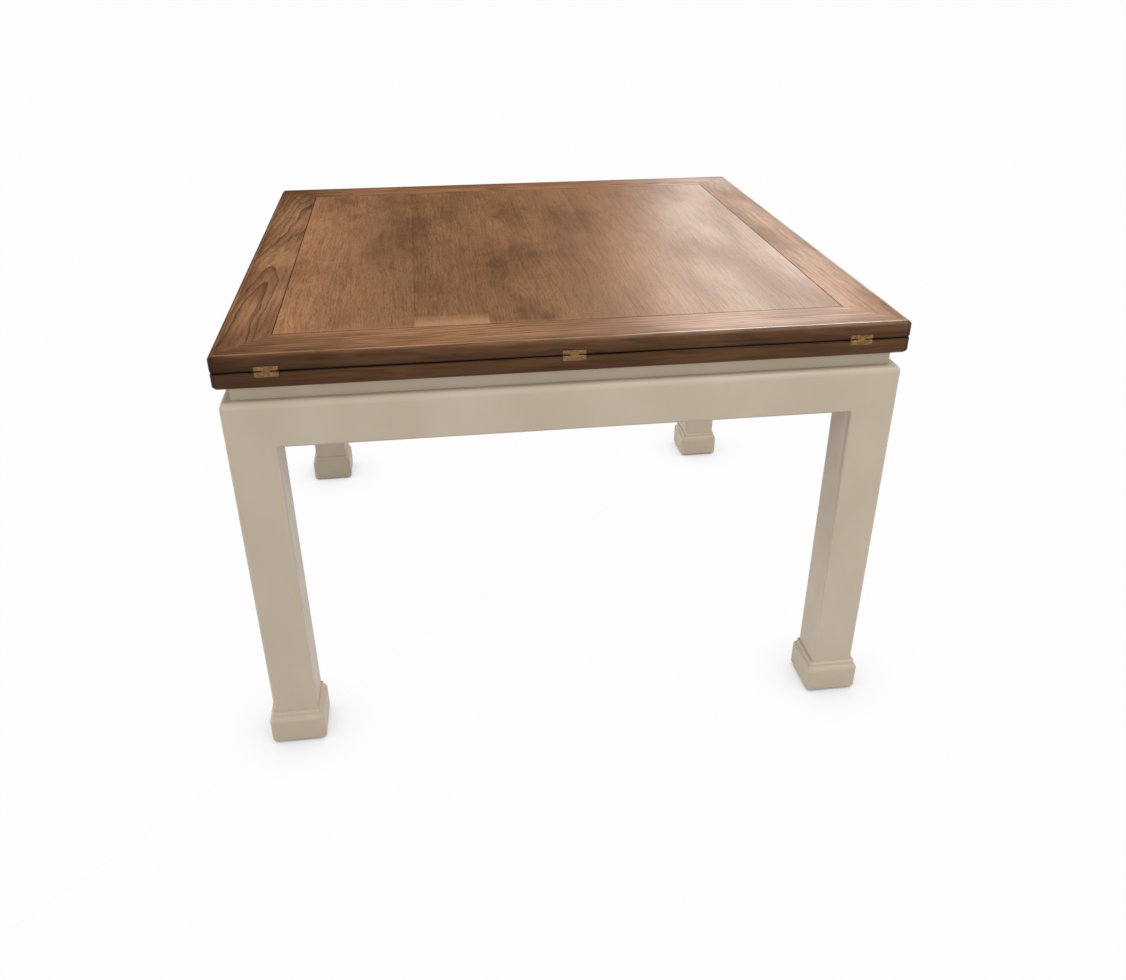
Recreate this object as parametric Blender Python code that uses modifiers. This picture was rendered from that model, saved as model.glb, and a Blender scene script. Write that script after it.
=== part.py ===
# Flip-top game table: a painted base on four square legs with stepped feet and a recessed waist,
# and a square top of two leaves that are hinged along the front edge.
# The whole top swivels a quarter turn on a stud, then the upper leaf folds over beside the lower one.
# Metres, +Z up. The origin is on the floor under the middle of the table, and the hinges face -Y.

from math import cos, pi, radians, sin, sqrt

import bmesh
import bpy
from mathutils import Matrix, Vector

# Overall sizes
TOP_WIDTH = 1.067
TOP_DEPTH = 1.067
TABLE_HEIGHT = 0.730

# Leaves of the top
LEAF_THICKNESS = 0.026
LEAF_GAP = 0.0006
LEAF_CORNER = 0.008
LEAF_ROUND = 0.006
BORDER_WIDTH = 0.083
PANEL_CHAMFER = 0.0008

# Painted base
FRAME_INSET = 0.003
FRAME_ROUND = 0.006
LEG_SIZE = 0.076
APRON_HEIGHT = 0.0745
APRON_THICKNESS = 0.028
WAIST_HEIGHT = 0.0235
WAIST_INSET = 0.017
WAIST_WIDTH = 0.065
CORNER_BLOCK_REACH = 0.150
CORNER_BLOCK_CHAMFER = 0.070
CORNER_BLOCK_HEIGHT = 0.045

# Feet and glides
FOOT_HEIGHT = 0.064
FOOT_PROJECTION = 0.009
FOOT_RISER_PROJECTION = 0.004
FOOT_RISER_HEIGHT = 0.009
FOOT_SHOULDER_HEIGHT = 0.008
FOOT_CORNER = 0.007
FOOT_CHAMFER = 0.004
GLIDE_RADIUS = 0.016
GLIDE_HEIGHT = 0.003

# Hinges: the pins lie this far inside the front face and the meeting faces of the leaves
HINGE_OFFSET = 0.003
HINGE_WIDTH = 0.0355
HINGE_DEPTH = 0.0062
HINGE_PLATE_HEIGHT = 0.0088
HINGE_END_DISTANCE = 0.081
LINK_WIDTH = 0.0126
LINK_THICKNESS = 0.0054
LINK_ROUND = 0.0026
PIN_RADIUS = 0.0015
PIN_END_INSET = 0.0005

# Swivel
PIVOT_RAIL_WIDTH = 0.110
STUD_RADIUS = 0.008
STUD_END = 0.004
FLANGE_RADIUS = 0.045
FLANGE_THICKNESS = 0.004
BUSH_RADIUS = 0.012
BUSH_COLLAR_RADIUS = 0.017
BUSH_COLLAR_HEIGHT = 0.002
WASHER_RADIUS = 0.020
WASHER_THICKNESS = 0.003
NUT_RADIUS = 0.014
NUT_HEIGHT = 0.011
SCREW_COUNT = 3
SCREW_CIRCLE = 0.030
SCREW_LENGTH = 0.016
SCREW_RADIUS = 0.0019
SCREW_HEAD_RADIUS = 0.004
SCREW_HEAD_HEIGHT = 0.0022
SCREW_POINT = 0.003
PEG_RADIUS = 0.008
PEG_DROP = 0.018
PEG_SEAT = 0.012

# Clearances
SEAT_GAP = 0.0003
BEARING_GAP = 0.0005
PIN_CLEARANCE = 0.00015
RUNNING_CLEARANCE = 0.00025

# How finely round shapes are divided, and how far a cutter runs past what it cuts
ARC_STEPS = 4
TURNED_STEPS = 24
SMALL_TURNED_STEPS = 16
FOOT_SIDES = 4
NUT_SIDES = 6
CUT_MARGIN = 0.005
TOUCH = 0.00001

# Levels and outlines worked out from the sizes above
FRAME_WIDTH = TOP_WIDTH - 2 * FRAME_INSET
FRAME_DEPTH = TOP_DEPTH - 2 * FRAME_INSET
UNDERSIDE = TABLE_HEIGHT - 2 * LEAF_THICKNESS - LEAF_GAP
LOWER_FACE = UNDERSIDE + LEAF_THICKNESS
UPPER_FACE = LOWER_FACE + LEAF_GAP
WAIST_TOP = UNDERSIDE - BEARING_GAP
WAIST_BOTTOM = WAIST_TOP - WAIST_HEIGHT
FRAME_TOP = WAIST_BOTTOM - SEAT_GAP
APRON_BOTTOM = FRAME_TOP - APRON_HEIGHT
LEG_BOTTOM = FOOT_HEIGHT + SEAT_GAP
LEG_X = (FRAME_WIDTH - LEG_SIZE) / 2
LEG_Y = (FRAME_DEPTH - LEG_SIZE) / 2
WAIST_OUTER_Y = FRAME_DEPTH / 2 - WAIST_INSET

# Joint axes: the stud stands a quarter of the top's depth in from both sides of its front left
# corner, so that a quarter turn brings the hinged edge over the middle of the base.
PIVOT = Vector((-TOP_DEPTH / 4, -TOP_DEPTH / 4, UNDERSIDE))
HINGE_Y = -TOP_DEPTH / 2 + HINGE_OFFSET
LOWER_PIN = Vector((0, HINGE_Y, LOWER_FACE - HINGE_OFFSET))
UPPER_PIN = Vector((0, HINGE_Y, UPPER_FACE + HINGE_OFFSET))
HINGE_PLACES = {
    "left": -TOP_WIDTH / 2 + HINGE_END_DISTANCE,
    "middle": 0.0,
    "right": TOP_WIDTH / 2 - HINGE_END_DISTANCE,
}
CORNERS = {
    "front_left": (-1, -1),
    "front_right": (1, -1),
    "back_left": (-1, 1),
    "back_right": (1, 1),
}
SIDES = {"front": 0, "right": 90, "back": 180, "left": 270}

for old in list(bpy.data.objects):
    bpy.data.objects.remove(old, do_unlink=True)

parts = bpy.data.collections.new("flip_top_game_table")
cutters = bpy.data.collections.new("cutters")
bpy.context.scene.collection.children.link(parts)
bpy.context.scene.collection.children.link(cutters)


def finish(name, colour, roughness, metallic=0.0):
    """A plain material with one colour."""
    material = bpy.data.materials.new(name)
    material.use_nodes = True
    shader = material.node_tree.nodes["Principled BSDF"]
    shader.inputs["Base Color"].default_value = (*colour, 1.0)
    shader.inputs["Roughness"].default_value = roughness
    shader.inputs["Metallic"].default_value = metallic
    return material


taupe_paint = finish("taupe_paint", (0.47, 0.40, 0.31), 0.45)
rail_walnut = finish("rail_walnut", (0.20, 0.10, 0.055), 0.35)
panel_walnut = finish("panel_walnut", (0.24, 0.125, 0.068), 0.33)
raw_poplar = finish("raw_poplar", (0.55, 0.44, 0.29), 0.70)
aged_brass = finish("aged_brass", (0.50, 0.36, 0.16), 0.35, 1.0)
zinc_steel = finish("zinc_steel", (0.58, 0.58, 0.57), 0.38, 1.0)
black_nylon = finish("black_nylon", (0.03, 0.03, 0.03), 0.55)


def axis_empty(name, place, parent=None):
    """An empty on a joint's axis, which carries the pieces that turn about it."""
    empty = bpy.data.objects.new(name, None)
    parts.objects.link(empty)
    empty.parent = parent
    empty.location = place - (world_place(parent) if parent else Vector())
    return empty


def world_place(empty):
    """Where an axis empty stands, with the places of those above it added up."""
    place = Vector(empty.location)
    if empty.parent:
        place += world_place(empty.parent)
    return place


swivel_axis = axis_empty("swivel_axis", PIVOT)
lower_pin_axis = axis_empty("lower_pin_axis", LOWER_PIN, swivel_axis)
upper_pin_axis = axis_empty("upper_pin_axis", UPPER_PIN, lower_pin_axis)


def add_object(name, mesh, place, carrier, turn):
    """An object at a place in the table's frame, carried by an axis empty where it moves."""
    item = bpy.data.objects.new(name, mesh)
    item.parent = carrier
    item.location = Vector(place) - (world_place(carrier) if carrier else Vector())
    item.rotation_euler.z = radians(turn)
    return item


def add_part(name, mesh, material, place, carrier=None, turn=0.0):
    """A piece of the table."""
    item = add_object(name, mesh, place, carrier, turn)
    mesh.materials.append(material)
    parts.objects.link(item)
    return item


def add_cutter(name, mesh, place, carrier=None):
    """A shape that only cuts other pieces."""
    item = add_object(name, mesh, place, carrier, 0.0)
    cutters.objects.link(item)
    item.hide_render = True
    item.display_type = "WIRE"
    return item


def cut(piece, cutter, operation="DIFFERENCE"):
    """Cut a piece with a cutter, or keep only what the two share."""
    boolean = piece.modifiers.new(cutter.name, "BOOLEAN")
    boolean.operation = operation
    boolean.object = cutter
    boolean.solver = "EXACT"


def mesh_from(bm, name, smooth=False):
    """Close a bmesh into a mesh, smooth shaded where it is round."""
    mesh = bpy.data.meshes.new(name)
    bm.to_mesh(mesh)
    bm.free()
    if smooth:
        mesh.shade_smooth()
        mesh.set_sharp_from_angle(angle=radians(35))
    return mesh


def box(size, middle=(0, 0, 0), bm=None):
    """A box about a middle point, in a new bmesh or added to one."""
    bm = bm or bmesh.new()
    matrix = Matrix.Translation(middle) @ Matrix.Diagonal((*size, 1.0))
    bmesh.ops.create_cube(bm, size=1.0, matrix=matrix)
    return bm


def rod(radius, length, middle=(0, 0, 0), steps=TURNED_STEPS, along="Z", bm=None, end_radius=None):
    """A cylinder, or a cone with its own radius at the far end, in a new bmesh or added to one."""
    bm = bm or bmesh.new()
    turn = Matrix.Rotation(pi / 2, 4, "Y") if along == "X" else Matrix.Identity(4)
    bmesh.ops.create_cone(
        bm, cap_ends=True, segments=steps, depth=length, radius1=radius,
        radius2=radius if end_radius is None else end_radius,
        matrix=Matrix.Translation(middle) @ turn,
    )
    return bm


def round_edges(bm, chosen, radius, steps=ARC_STEPS):
    """Round, or with one step chamfer, the edges that a test on their two ends picks."""
    edges = [edge for edge in bm.edges if chosen(*(vert.co for vert in edge.verts))]
    bmesh.ops.bevel(bm, geom=edges, offset=radius, segments=steps, profile=0.5, affect="EDGES")


def same(a, b):
    return abs(a - b) < TOUCH


def upright(a, b):
    return same(a.x, b.x) and same(a.y, b.y)


def level_at(height):
    """A test for edges that lie at one height."""
    return lambda a, b: same(a.z, height) and same(b.z, height)


def add_turned(name, profile, material, place, carrier=None, steps=TURNED_STEPS, closed=False):
    """A piece turned about Z from (radius, height) points that run down its outer side."""
    mesh = bpy.data.meshes.new(name)
    edges = [(i, i + 1) for i in range(len(profile) - 1)]
    if closed:
        edges.append((len(profile) - 1, 0))
    mesh.from_pydata([(radius, 0, height) for radius, height in profile], edges, [])
    piece = add_part(name, mesh, material, place, carrier)
    screw = piece.modifiers.new("turning", "SCREW")
    screw.axis = "Z"
    screw.steps = steps
    screw.render_steps = steps
    screw.use_merge_vertices = True
    screw.merge_threshold = TOUCH
    return piece


def mitred_bar(outer_half, inner_half, outer_y, inner_y, bottom, top):
    """A bar along X at -Y whose ends are mitred: its outer side is longer than its inner one."""
    bm = box((2, 2, 2))
    for vert in bm.verts:
        outer = vert.co.y < 0
        vert.co.x *= outer_half if outer else inner_half
        vert.co.y = outer_y if outer else inner_y
        vert.co.z = top if vert.co.z > 0 else bottom
    return bm


def side_lengths(side, width, depth):
    """Half length along a side, and half the distance across to the opposite side."""
    return (width / 2, depth / 2) if side in ("front", "back") else (depth / 2, width / 2)


# Glides, feet and legs. The foot is a square turning: a profile swept in four steps.

def foot_profile():
    """Half widths and heights of the foot, down its outer side, as (half width, height)."""
    riser = LEG_SIZE / 2 + FOOT_RISER_PROJECTION
    block = LEG_SIZE / 2 + FOOT_PROJECTION
    shoulder_top = FOOT_HEIGHT - FOOT_RISER_HEIGHT
    bottom = GLIDE_HEIGHT + SEAT_GAP
    points = [(0, FOOT_HEIGHT), (riser, FOOT_HEIGHT)]
    for step in range(ARC_STEPS + 1):
        angle = pi / 2 * step / ARC_STEPS
        out = riser + (block - riser) * sin(angle)
        points.append((out, shoulder_top - FOOT_SHOULDER_HEIGHT * (1 - cos(angle))))
    points += [(block, bottom + FOOT_CHAMFER), (block - FOOT_CHAMFER, bottom), (0, bottom)]
    return points


def foot_mesh():
    """The four-step turning, with its upright corners rounded."""
    bm = bmesh.new()
    verts = [bm.verts.new((half * sqrt(2), 0, height)) for half, height in foot_profile()]
    edges = [bm.edges.new(pair) for pair in zip(verts, verts[1:])]
    bmesh.ops.rotate(bm, verts=verts, cent=(0, 0, 0), matrix=Matrix.Rotation(pi / 4, 3, "Z"))
    bmesh.ops.spin(
        bm, geom=verts + edges, cent=(0, 0, 0), axis=(0, 0, 1), angle=2 * pi, steps=FOOT_SIDES,
    )
    bmesh.ops.remove_doubles(bm, verts=bm.verts, dist=TOUCH)
    bmesh.ops.recalc_face_normals(bm, faces=bm.faces)
    sloping = [e for e in bm.edges if not same(e.verts[0].co.z, e.verts[1].co.z)]
    corners = [e for e in sloping if all(same(abs(v.co.x), abs(v.co.y)) for v in e.verts)]
    bmesh.ops.bevel(bm, geom=corners, offset=FOOT_CORNER, segments=ARC_STEPS, profile=0.5, affect="EDGES")
    return mesh_from(bm, "foot", smooth=True)


def leg_mesh(side_x, side_y):
    """A square post. Its outer corner and the two outer arrises of its top are rounded."""
    half = LEG_SIZE / 2
    top = FRAME_TOP - LEG_BOTTOM
    bm = box((LEG_SIZE, LEG_SIZE, top), (0, 0, top / 2))

    def outer_arris(a, b):
        on_x = same(a.x, side_x * half) and same(b.x, side_x * half)
        on_y = same(a.y, side_y * half) and same(b.y, side_y * half)
        at_top = same(a.z, top) and same(b.z, top)
        return (on_x and on_y) or (at_top and (on_x or on_y))

    round_edges(bm, outer_arris, FRAME_ROUND)
    return mesh_from(bm, "leg", smooth=True)


for corner, (side_x, side_y) in CORNERS.items():
    leg_place = (side_x * LEG_X, side_y * LEG_Y, 0)
    glide = mesh_from(rod(GLIDE_RADIUS, GLIDE_HEIGHT, (0, 0, GLIDE_HEIGHT / 2)), "glide", smooth=True)
    add_part("glide_" + corner, glide, black_nylon, leg_place)
    add_part("foot_" + corner, foot_mesh(), taupe_paint, leg_place)
    leg_foot = (side_x * LEG_X, side_y * LEG_Y, LEG_BOTTOM)
    add_part("leg_" + corner, leg_mesh(side_x, side_y), taupe_paint, leg_foot)


# Aprons and waist boards, one of each to a side, and the corner blocks behind the legs

def apron_mesh(length):
    """A board along X with its outer top arris rounded; its outer face is at -Y."""
    bm = box((length, APRON_THICKNESS, APRON_HEIGHT))
    outer = -APRON_THICKNESS / 2

    def outer_arris(a, b):
        at_top = same(a.z, APRON_HEIGHT / 2) and same(b.z, APRON_HEIGHT / 2)
        return at_top and same(a.y, outer) and same(b.y, outer)

    round_edges(bm, outer_arris, FRAME_ROUND)
    return mesh_from(bm, "apron", smooth=True)


for side, turn in SIDES.items():
    half, across = side_lengths(side, FRAME_WIDTH, FRAME_DEPTH)
    apron_length = 2 * (half - LEG_SIZE - SEAT_GAP)
    outward = Matrix.Rotation(radians(turn), 3, "Z") @ Vector((0, -1, 0))
    apron_place = outward * (across - APRON_THICKNESS / 2)
    apron_place.z = (FRAME_TOP + APRON_BOTTOM) / 2
    add_part("apron_" + side, apron_mesh(apron_length), taupe_paint, apron_place, turn=turn)

    mitre_gap = SEAT_GAP / sqrt(2)
    waist_half = half - WAIST_INSET - mitre_gap
    waist_across = across - WAIST_INSET
    waist = mitred_bar(
        waist_half, waist_half - WAIST_WIDTH, -waist_across, -waist_across + WAIST_WIDTH,
        WAIST_BOTTOM, WAIST_TOP,
    )
    add_part("waist_" + side, mesh_from(waist, "waist"), taupe_paint, (0, 0, 0), turn=turn)

for corner, (side_x, side_y) in CORNERS.items():
    near = APRON_THICKNESS + SEAT_GAP
    reach = CORNER_BLOCK_REACH - near
    block = box((reach, reach, CORNER_BLOCK_HEIGHT))
    inner = -reach / 2
    round_edges(
        block,
        lambda a, b: upright(a, b) and same(a.x, side_x * inner) and same(a.y, side_y * inner),
        CORNER_BLOCK_CHAMFER, 1,
    )
    block_z = FRAME_TOP - SEAT_GAP - CORNER_BLOCK_HEIGHT / 2
    block_place = (
        side_x * (FRAME_WIDTH / 2 - near - reach / 2),
        side_y * (FRAME_DEPTH / 2 - near - reach / 2),
        block_z,
    )
    block_mesh = mesh_from(block, "corner_block")
    corner_block = add_part("corner_block_" + corner, block_mesh, raw_poplar, block_place)
    notch_size = LEG_SIZE + 2 * SEAT_GAP
    notch = box((notch_size, notch_size, CORNER_BLOCK_HEIGHT + 2 * CUT_MARGIN))
    notch_place = (side_x * LEG_X, side_y * LEG_Y, block_z)
    cut(corner_block, add_cutter("leg_notch_" + corner, mesh_from(notch, "leg_notch"), notch_place))


# Pivot rail with its bush, which stay on the base

rail_half = WAIST_OUTER_Y - WAIST_WIDTH - SEAT_GAP
rail_mesh = mesh_from(box((PIVOT_RAIL_WIDTH, 2 * rail_half, WAIST_HEIGHT)), "pivot_rail")
rail_place = (PIVOT.x, 0, WAIST_TOP - WAIST_HEIGHT / 2)
pivot_rail = add_part("pivot_rail", rail_mesh, raw_poplar, rail_place)
bush_hole = rod(BUSH_RADIUS + SEAT_GAP, WAIST_HEIGHT + 2 * CUT_MARGIN)
bush_hole_place = (PIVOT.x, PIVOT.y, WAIST_TOP - WAIST_HEIGHT / 2)
cut(pivot_rail, add_cutter("bush_hole", mesh_from(bush_hole, "bush_hole"), bush_hole_place))

stud_bore = STUD_RADIUS + RUNNING_CLEARANCE
collar_top = WAIST_BOTTOM - SEAT_GAP
collar_bottom = collar_top - BUSH_COLLAR_HEIGHT
bush_profile = [
    (BUSH_RADIUS, WAIST_TOP),
    (BUSH_RADIUS, collar_top),
    (BUSH_COLLAR_RADIUS, collar_top),
    (BUSH_COLLAR_RADIUS, collar_bottom),
    (stud_bore, collar_bottom),
    (stud_bore, WAIST_TOP),
]
add_turned("pivot_bush", bush_profile, aged_brass, (PIVOT.x, PIVOT.y, 0), closed=True)


# Leaves: a panel in four mitred rails. Each rail is a mitred bar trimmed to the leaf's rounded outline.

def leaf_outline(outer_up):
    """The whole leaf as one rounded block about its middle; the face that shows when folded is outer."""
    bm = box((TOP_WIDTH, TOP_DEPTH, LEAF_THICKNESS))
    outer = LEAF_THICKNESS / 2 if outer_up else -LEAF_THICKNESS / 2
    round_edges(bm, upright, LEAF_CORNER)
    round_edges(bm, level_at(outer), LEAF_ROUND)
    round_edges(bm, level_at(-outer), HINGE_OFFSET)
    return mesh_from(bm, "leaf_outline")


def hinge_mortises(height, deep):
    """Pockets in a front rail for the hinge plates, open at the front and at the meeting face."""
    bm = bmesh.new()
    depth = HINGE_DEPTH + SEAT_GAP + CUT_MARGIN
    middle_y = -TOP_DEPTH / 2 - CUT_MARGIN + depth / 2
    size = (HINGE_WIDTH + 2 * SEAT_GAP, depth, HINGE_PLATE_HEIGHT + SEAT_GAP + CUT_MARGIN)
    for x in HINGE_PLACES.values():
        box(size, (x, middle_y, height + deep * (size[2] / 2 - CUT_MARGIN)), bm)
    return mesh_from(bm, "hinge_mortises")


def add_leaf(name, middle, outer_up, meeting_face, carrier):
    """Rails and panel of one leaf."""
    outline = add_cutter(name + "_outline", leaf_outline(outer_up), (0, 0, middle), carrier)
    deep = 1 if outer_up else -1
    mortises = add_cutter(name + "_mortises", hinge_mortises(meeting_face, deep), (0, 0, 0), carrier)
    margin = LEAF_THICKNESS / 2 + CUT_MARGIN
    for side, turn in SIDES.items():
        half, across = side_lengths(side, TOP_WIDTH, TOP_DEPTH)
        mitre_gap = SEAT_GAP / sqrt(2)
        bar = mitred_bar(
            half + CUT_MARGIN - mitre_gap, half - BORDER_WIDTH - mitre_gap,
            -across - CUT_MARGIN, -across + BORDER_WIDTH, -margin, margin,
        )
        rail = add_part(
            name + "_rail_" + side, mesh_from(bar, "rail"), rail_walnut, (0, 0, middle), carrier, turn,
        )
        cut(rail, outline, "INTERSECT")
        if side == "front":
            cut(rail, mortises)
    inside = 2 * (BORDER_WIDTH + SEAT_GAP)
    panel = box((TOP_WIDTH - inside, TOP_DEPTH - inside, LEAF_THICKNESS))
    round_edges(panel, lambda a, b: not upright(a, b), PANEL_CHAMFER, 1)
    return add_part(name + "_panel", mesh_from(panel, "panel"), panel_walnut, (0, 0, middle), carrier)


lower_panel = add_leaf("lower", (UNDERSIDE + LOWER_FACE) / 2, False, LOWER_FACE, swivel_axis)
add_leaf("upper", (UPPER_FACE + TABLE_HEIGHT) / 2, True, UPPER_FACE, upper_pin_axis)


# Swivel pieces that turn with the lower leaf: flange, screws, stud, washer, nut and stop peg

def at_screws(radius, length, middle, end_radius=None):
    """Rods or cones at every screw, in one mesh."""
    bm = bmesh.new()
    for number in range(SCREW_COUNT):
        x, y = screw_place(number)
        rod(radius, length, (x, y, middle), SMALL_TURNED_STEPS, bm=bm, end_radius=end_radius)
    return mesh_from(bm, "at_screws")


def screw_place(number):
    """Where a screw stands on its circle about the pivot."""
    angle = 2 * pi * number / SCREW_COUNT + pi / 2
    return SCREW_CIRCLE * cos(angle), SCREW_CIRCLE * sin(angle)


flange_mesh = mesh_from(rod(FLANGE_RADIUS, FLANGE_THICKNESS), "pivot_flange", smooth=True)
flange_place = PIVOT + Vector((0, 0, FLANGE_THICKNESS / 2))
pivot_flange = add_part("pivot_flange", flange_mesh, zinc_steel, flange_place, swivel_axis)

pocket_depth = FLANGE_THICKNESS + SEAT_GAP
pocket = rod(FLANGE_RADIUS + SEAT_GAP, pocket_depth + CUT_MARGIN)
pocket_place = PIVOT + Vector((0, 0, (pocket_depth - CUT_MARGIN) / 2))
cut(lower_panel, add_cutter("flange_pocket", mesh_from(pocket, "flange_pocket"), pocket_place, swivel_axis))

stud_hole = mesh_from(rod(STUD_RADIUS + SEAT_GAP, FLANGE_THICKNESS + 2 * CUT_MARGIN), "stud_hole")
cut(pivot_flange, add_cutter("stud_hole", stud_hole, flange_place, swivel_axis))

hole_length = SCREW_LENGTH + SEAT_GAP + CUT_MARGIN
shank_holes = at_screws(SCREW_RADIUS + SEAT_GAP, hole_length, hole_length / 2 - CUT_MARGIN)
shank_cutter = add_cutter("shank_holes", shank_holes, PIVOT, swivel_axis)
cut(lower_panel, shank_cutter)
cut(pivot_flange, shank_cutter)

# A countersink's cone runs on below the flange, at the same slope, so that its mouth is cut clean
head_slope = (SCREW_HEAD_RADIUS - SCREW_RADIUS) / SCREW_HEAD_HEIGHT
mouth_radius = SCREW_HEAD_RADIUS + SEAT_GAP + head_slope * CUT_MARGIN
countersinks = at_screws(
    mouth_radius, SCREW_HEAD_HEIGHT + CUT_MARGIN, (SCREW_HEAD_HEIGHT - CUT_MARGIN) / 2,
    end_radius=SCREW_RADIUS + SEAT_GAP,
)
cut(pivot_flange, add_cutter("countersinks", countersinks, PIVOT, swivel_axis))

screw_profile = [
    (0, SCREW_LENGTH),
    (SCREW_RADIUS, SCREW_LENGTH - SCREW_POINT),
    (SCREW_RADIUS, SCREW_HEAD_HEIGHT),
    (SCREW_HEAD_RADIUS, 0),
    (0, 0),
]
for number in range(SCREW_COUNT):
    x, y = screw_place(number)
    add_turned(
        "pivot_screw_%d" % (number + 1), screw_profile, zinc_steel, PIVOT + Vector((x, y, 0)),
        swivel_axis, SMALL_TURNED_STEPS,
    )

washer_top = collar_bottom - SEAT_GAP
washer_bottom = washer_top - WASHER_THICKNESS
nut_top = washer_bottom - SEAT_GAP
nut_bottom = nut_top - NUT_HEIGHT
stud_top = UNDERSIDE + FLANGE_THICKNESS
stud_bottom = nut_bottom - STUD_END
stud_mesh = mesh_from(rod(STUD_RADIUS, stud_top - stud_bottom), "pivot_stud", smooth=True)
stud_place = (PIVOT.x, PIVOT.y, (stud_top + stud_bottom) / 2)
add_part("pivot_stud", stud_mesh, zinc_steel, stud_place, swivel_axis)

loose_bore = STUD_RADIUS + SEAT_GAP
washer_profile = [
    (WASHER_RADIUS, washer_top),
    (WASHER_RADIUS, washer_bottom),
    (loose_bore, washer_bottom),
    (loose_bore, washer_top),
]
add_turned("pivot_washer", washer_profile, zinc_steel, (PIVOT.x, PIVOT.y, 0), swivel_axis, closed=True)

nut_place = (PIVOT.x, PIVOT.y, (nut_top + nut_bottom) / 2)
nut_mesh = mesh_from(rod(NUT_RADIUS, NUT_HEIGHT, steps=NUT_SIDES), "pivot_nut")
pivot_nut = add_part("pivot_nut", nut_mesh, zinc_steel, nut_place, swivel_axis)
nut_bore = mesh_from(rod(loose_bore, NUT_HEIGHT + 2 * CUT_MARGIN), "nut_bore")
cut(pivot_nut, add_cutter("nut_bore", nut_bore, nut_place, swivel_axis))

# The peg swings through a quarter turn beside the pivot rail and meets its edge at both ends
peg_out = PIVOT_RAIL_WIDTH / 2 + PEG_RADIUS + SEAT_GAP
peg_place = PIVOT + Vector((peg_out, -peg_out, (PEG_SEAT - PEG_DROP) / 2))
peg_mesh = mesh_from(rod(PEG_RADIUS, PEG_SEAT + PEG_DROP), "stop_peg", smooth=True)
add_part("stop_peg", peg_mesh, raw_poplar, peg_place, swivel_axis)
peg_hole_depth = PEG_SEAT + SEAT_GAP
peg_hole = mesh_from(rod(PEG_RADIUS + SEAT_GAP, peg_hole_depth + CUT_MARGIN), "peg_hole")
peg_hole_place = PIVOT + Vector((peg_out, -peg_out, (peg_hole_depth - CUT_MARGIN) / 2))
cut(lower_panel, add_cutter("peg_hole", peg_hole, peg_hole_place, swivel_axis))


# Hinges: in each, two plates let into the leaves, two pins and the link between them

def plate_mesh(up):
    """A plate about its pin, with the corner at the pin rounded like the leaf's own arris."""
    far = HINGE_PLATE_HEIGHT - HINGE_OFFSET
    size = (HINGE_WIDTH, HINGE_DEPTH, HINGE_PLATE_HEIGHT)
    middle = (0, HINGE_DEPTH / 2 - HINGE_OFFSET, up * (far - HINGE_OFFSET) / 2)
    bm = box(size, middle)

    def meeting_arris(a, b):
        front = same(a.y, -HINGE_OFFSET) and same(b.y, -HINGE_OFFSET)
        return front and same(a.z, -up * HINGE_OFFSET) and same(b.z, -up * HINGE_OFFSET)

    round_edges(bm, meeting_arris, HINGE_OFFSET)
    return mesh_from(bm, "hinge_plate", smooth=True)


def link_notch(up):
    """Room in a plate for the link's round end, open at the front, the back and the meeting face."""
    reach = LINK_THICKNESS / 2 + SEAT_GAP
    height = reach + HINGE_OFFSET + CUT_MARGIN
    size = (LINK_WIDTH + 2 * SEAT_GAP, 2 * (HINGE_DEPTH + CUT_MARGIN), height)
    return mesh_from(box(size, (0, 0, up * (reach - height / 2))), "link_notch")


def link_mesh():
    """The link about its lower pin: a bar with round ends."""
    pitch = UPPER_PIN.z - LOWER_PIN.z
    bm = box((LINK_WIDTH, LINK_THICKNESS, pitch + LINK_THICKNESS), (0, 0, pitch / 2))
    round_edges(bm, lambda a, b: same(a.y, b.y) and same(a.z, b.z), LINK_ROUND)
    return mesh_from(bm, "hinge_link", smooth=True)


def pin_bore(name, place, carrier):
    """A bore along X for one pin."""
    bore = rod(PIN_RADIUS + PIN_CLEARANCE, HINGE_WIDTH + 2 * CUT_MARGIN, steps=SMALL_TURNED_STEPS, along="X")
    return add_cutter(name, mesh_from(bore, "pin_bore"), place, carrier)


pin_length = HINGE_WIDTH - 2 * PIN_END_INSET
for where, x in HINGE_PLACES.items():
    link_place = LOWER_PIN + Vector((x, 0, 0))
    link = add_part("hinge_link_" + where, link_mesh(), aged_brass, link_place, lower_pin_axis)
    for leaf, pin, up, carrier in (
        ("lower", LOWER_PIN, -1, swivel_axis),
        ("upper", UPPER_PIN, 1, upper_pin_axis),
    ):
        place = pin + Vector((x, 0, 0))
        name = "hinge_%s_%%s_%s" % (leaf, where)
        plate = add_part(name % "plate", plate_mesh(up), aged_brass, place, carrier)
        cut(plate, add_cutter(name % "notch", link_notch(up), place, carrier))
        bore = pin_bore(name % "bore", place, carrier)
        cut(plate, bore)
        cut(link, bore)
        pin_rod = rod(PIN_RADIUS, pin_length, steps=SMALL_TURNED_STEPS, along="X")
        add_part(name % "pin", mesh_from(pin_rod, "hinge_pin", smooth=True), aged_brass, place, carrier)
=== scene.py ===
# Flip-top game table: the looks of the table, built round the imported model.
# Metres, +Z up, the hinged front edge at -Y, in the same frame as the CAD nodes.

from math import asin, cos, degrees, pi, radians, sin, tan

import bmesh
import bpy
from mathutils import Matrix, Vector


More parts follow.
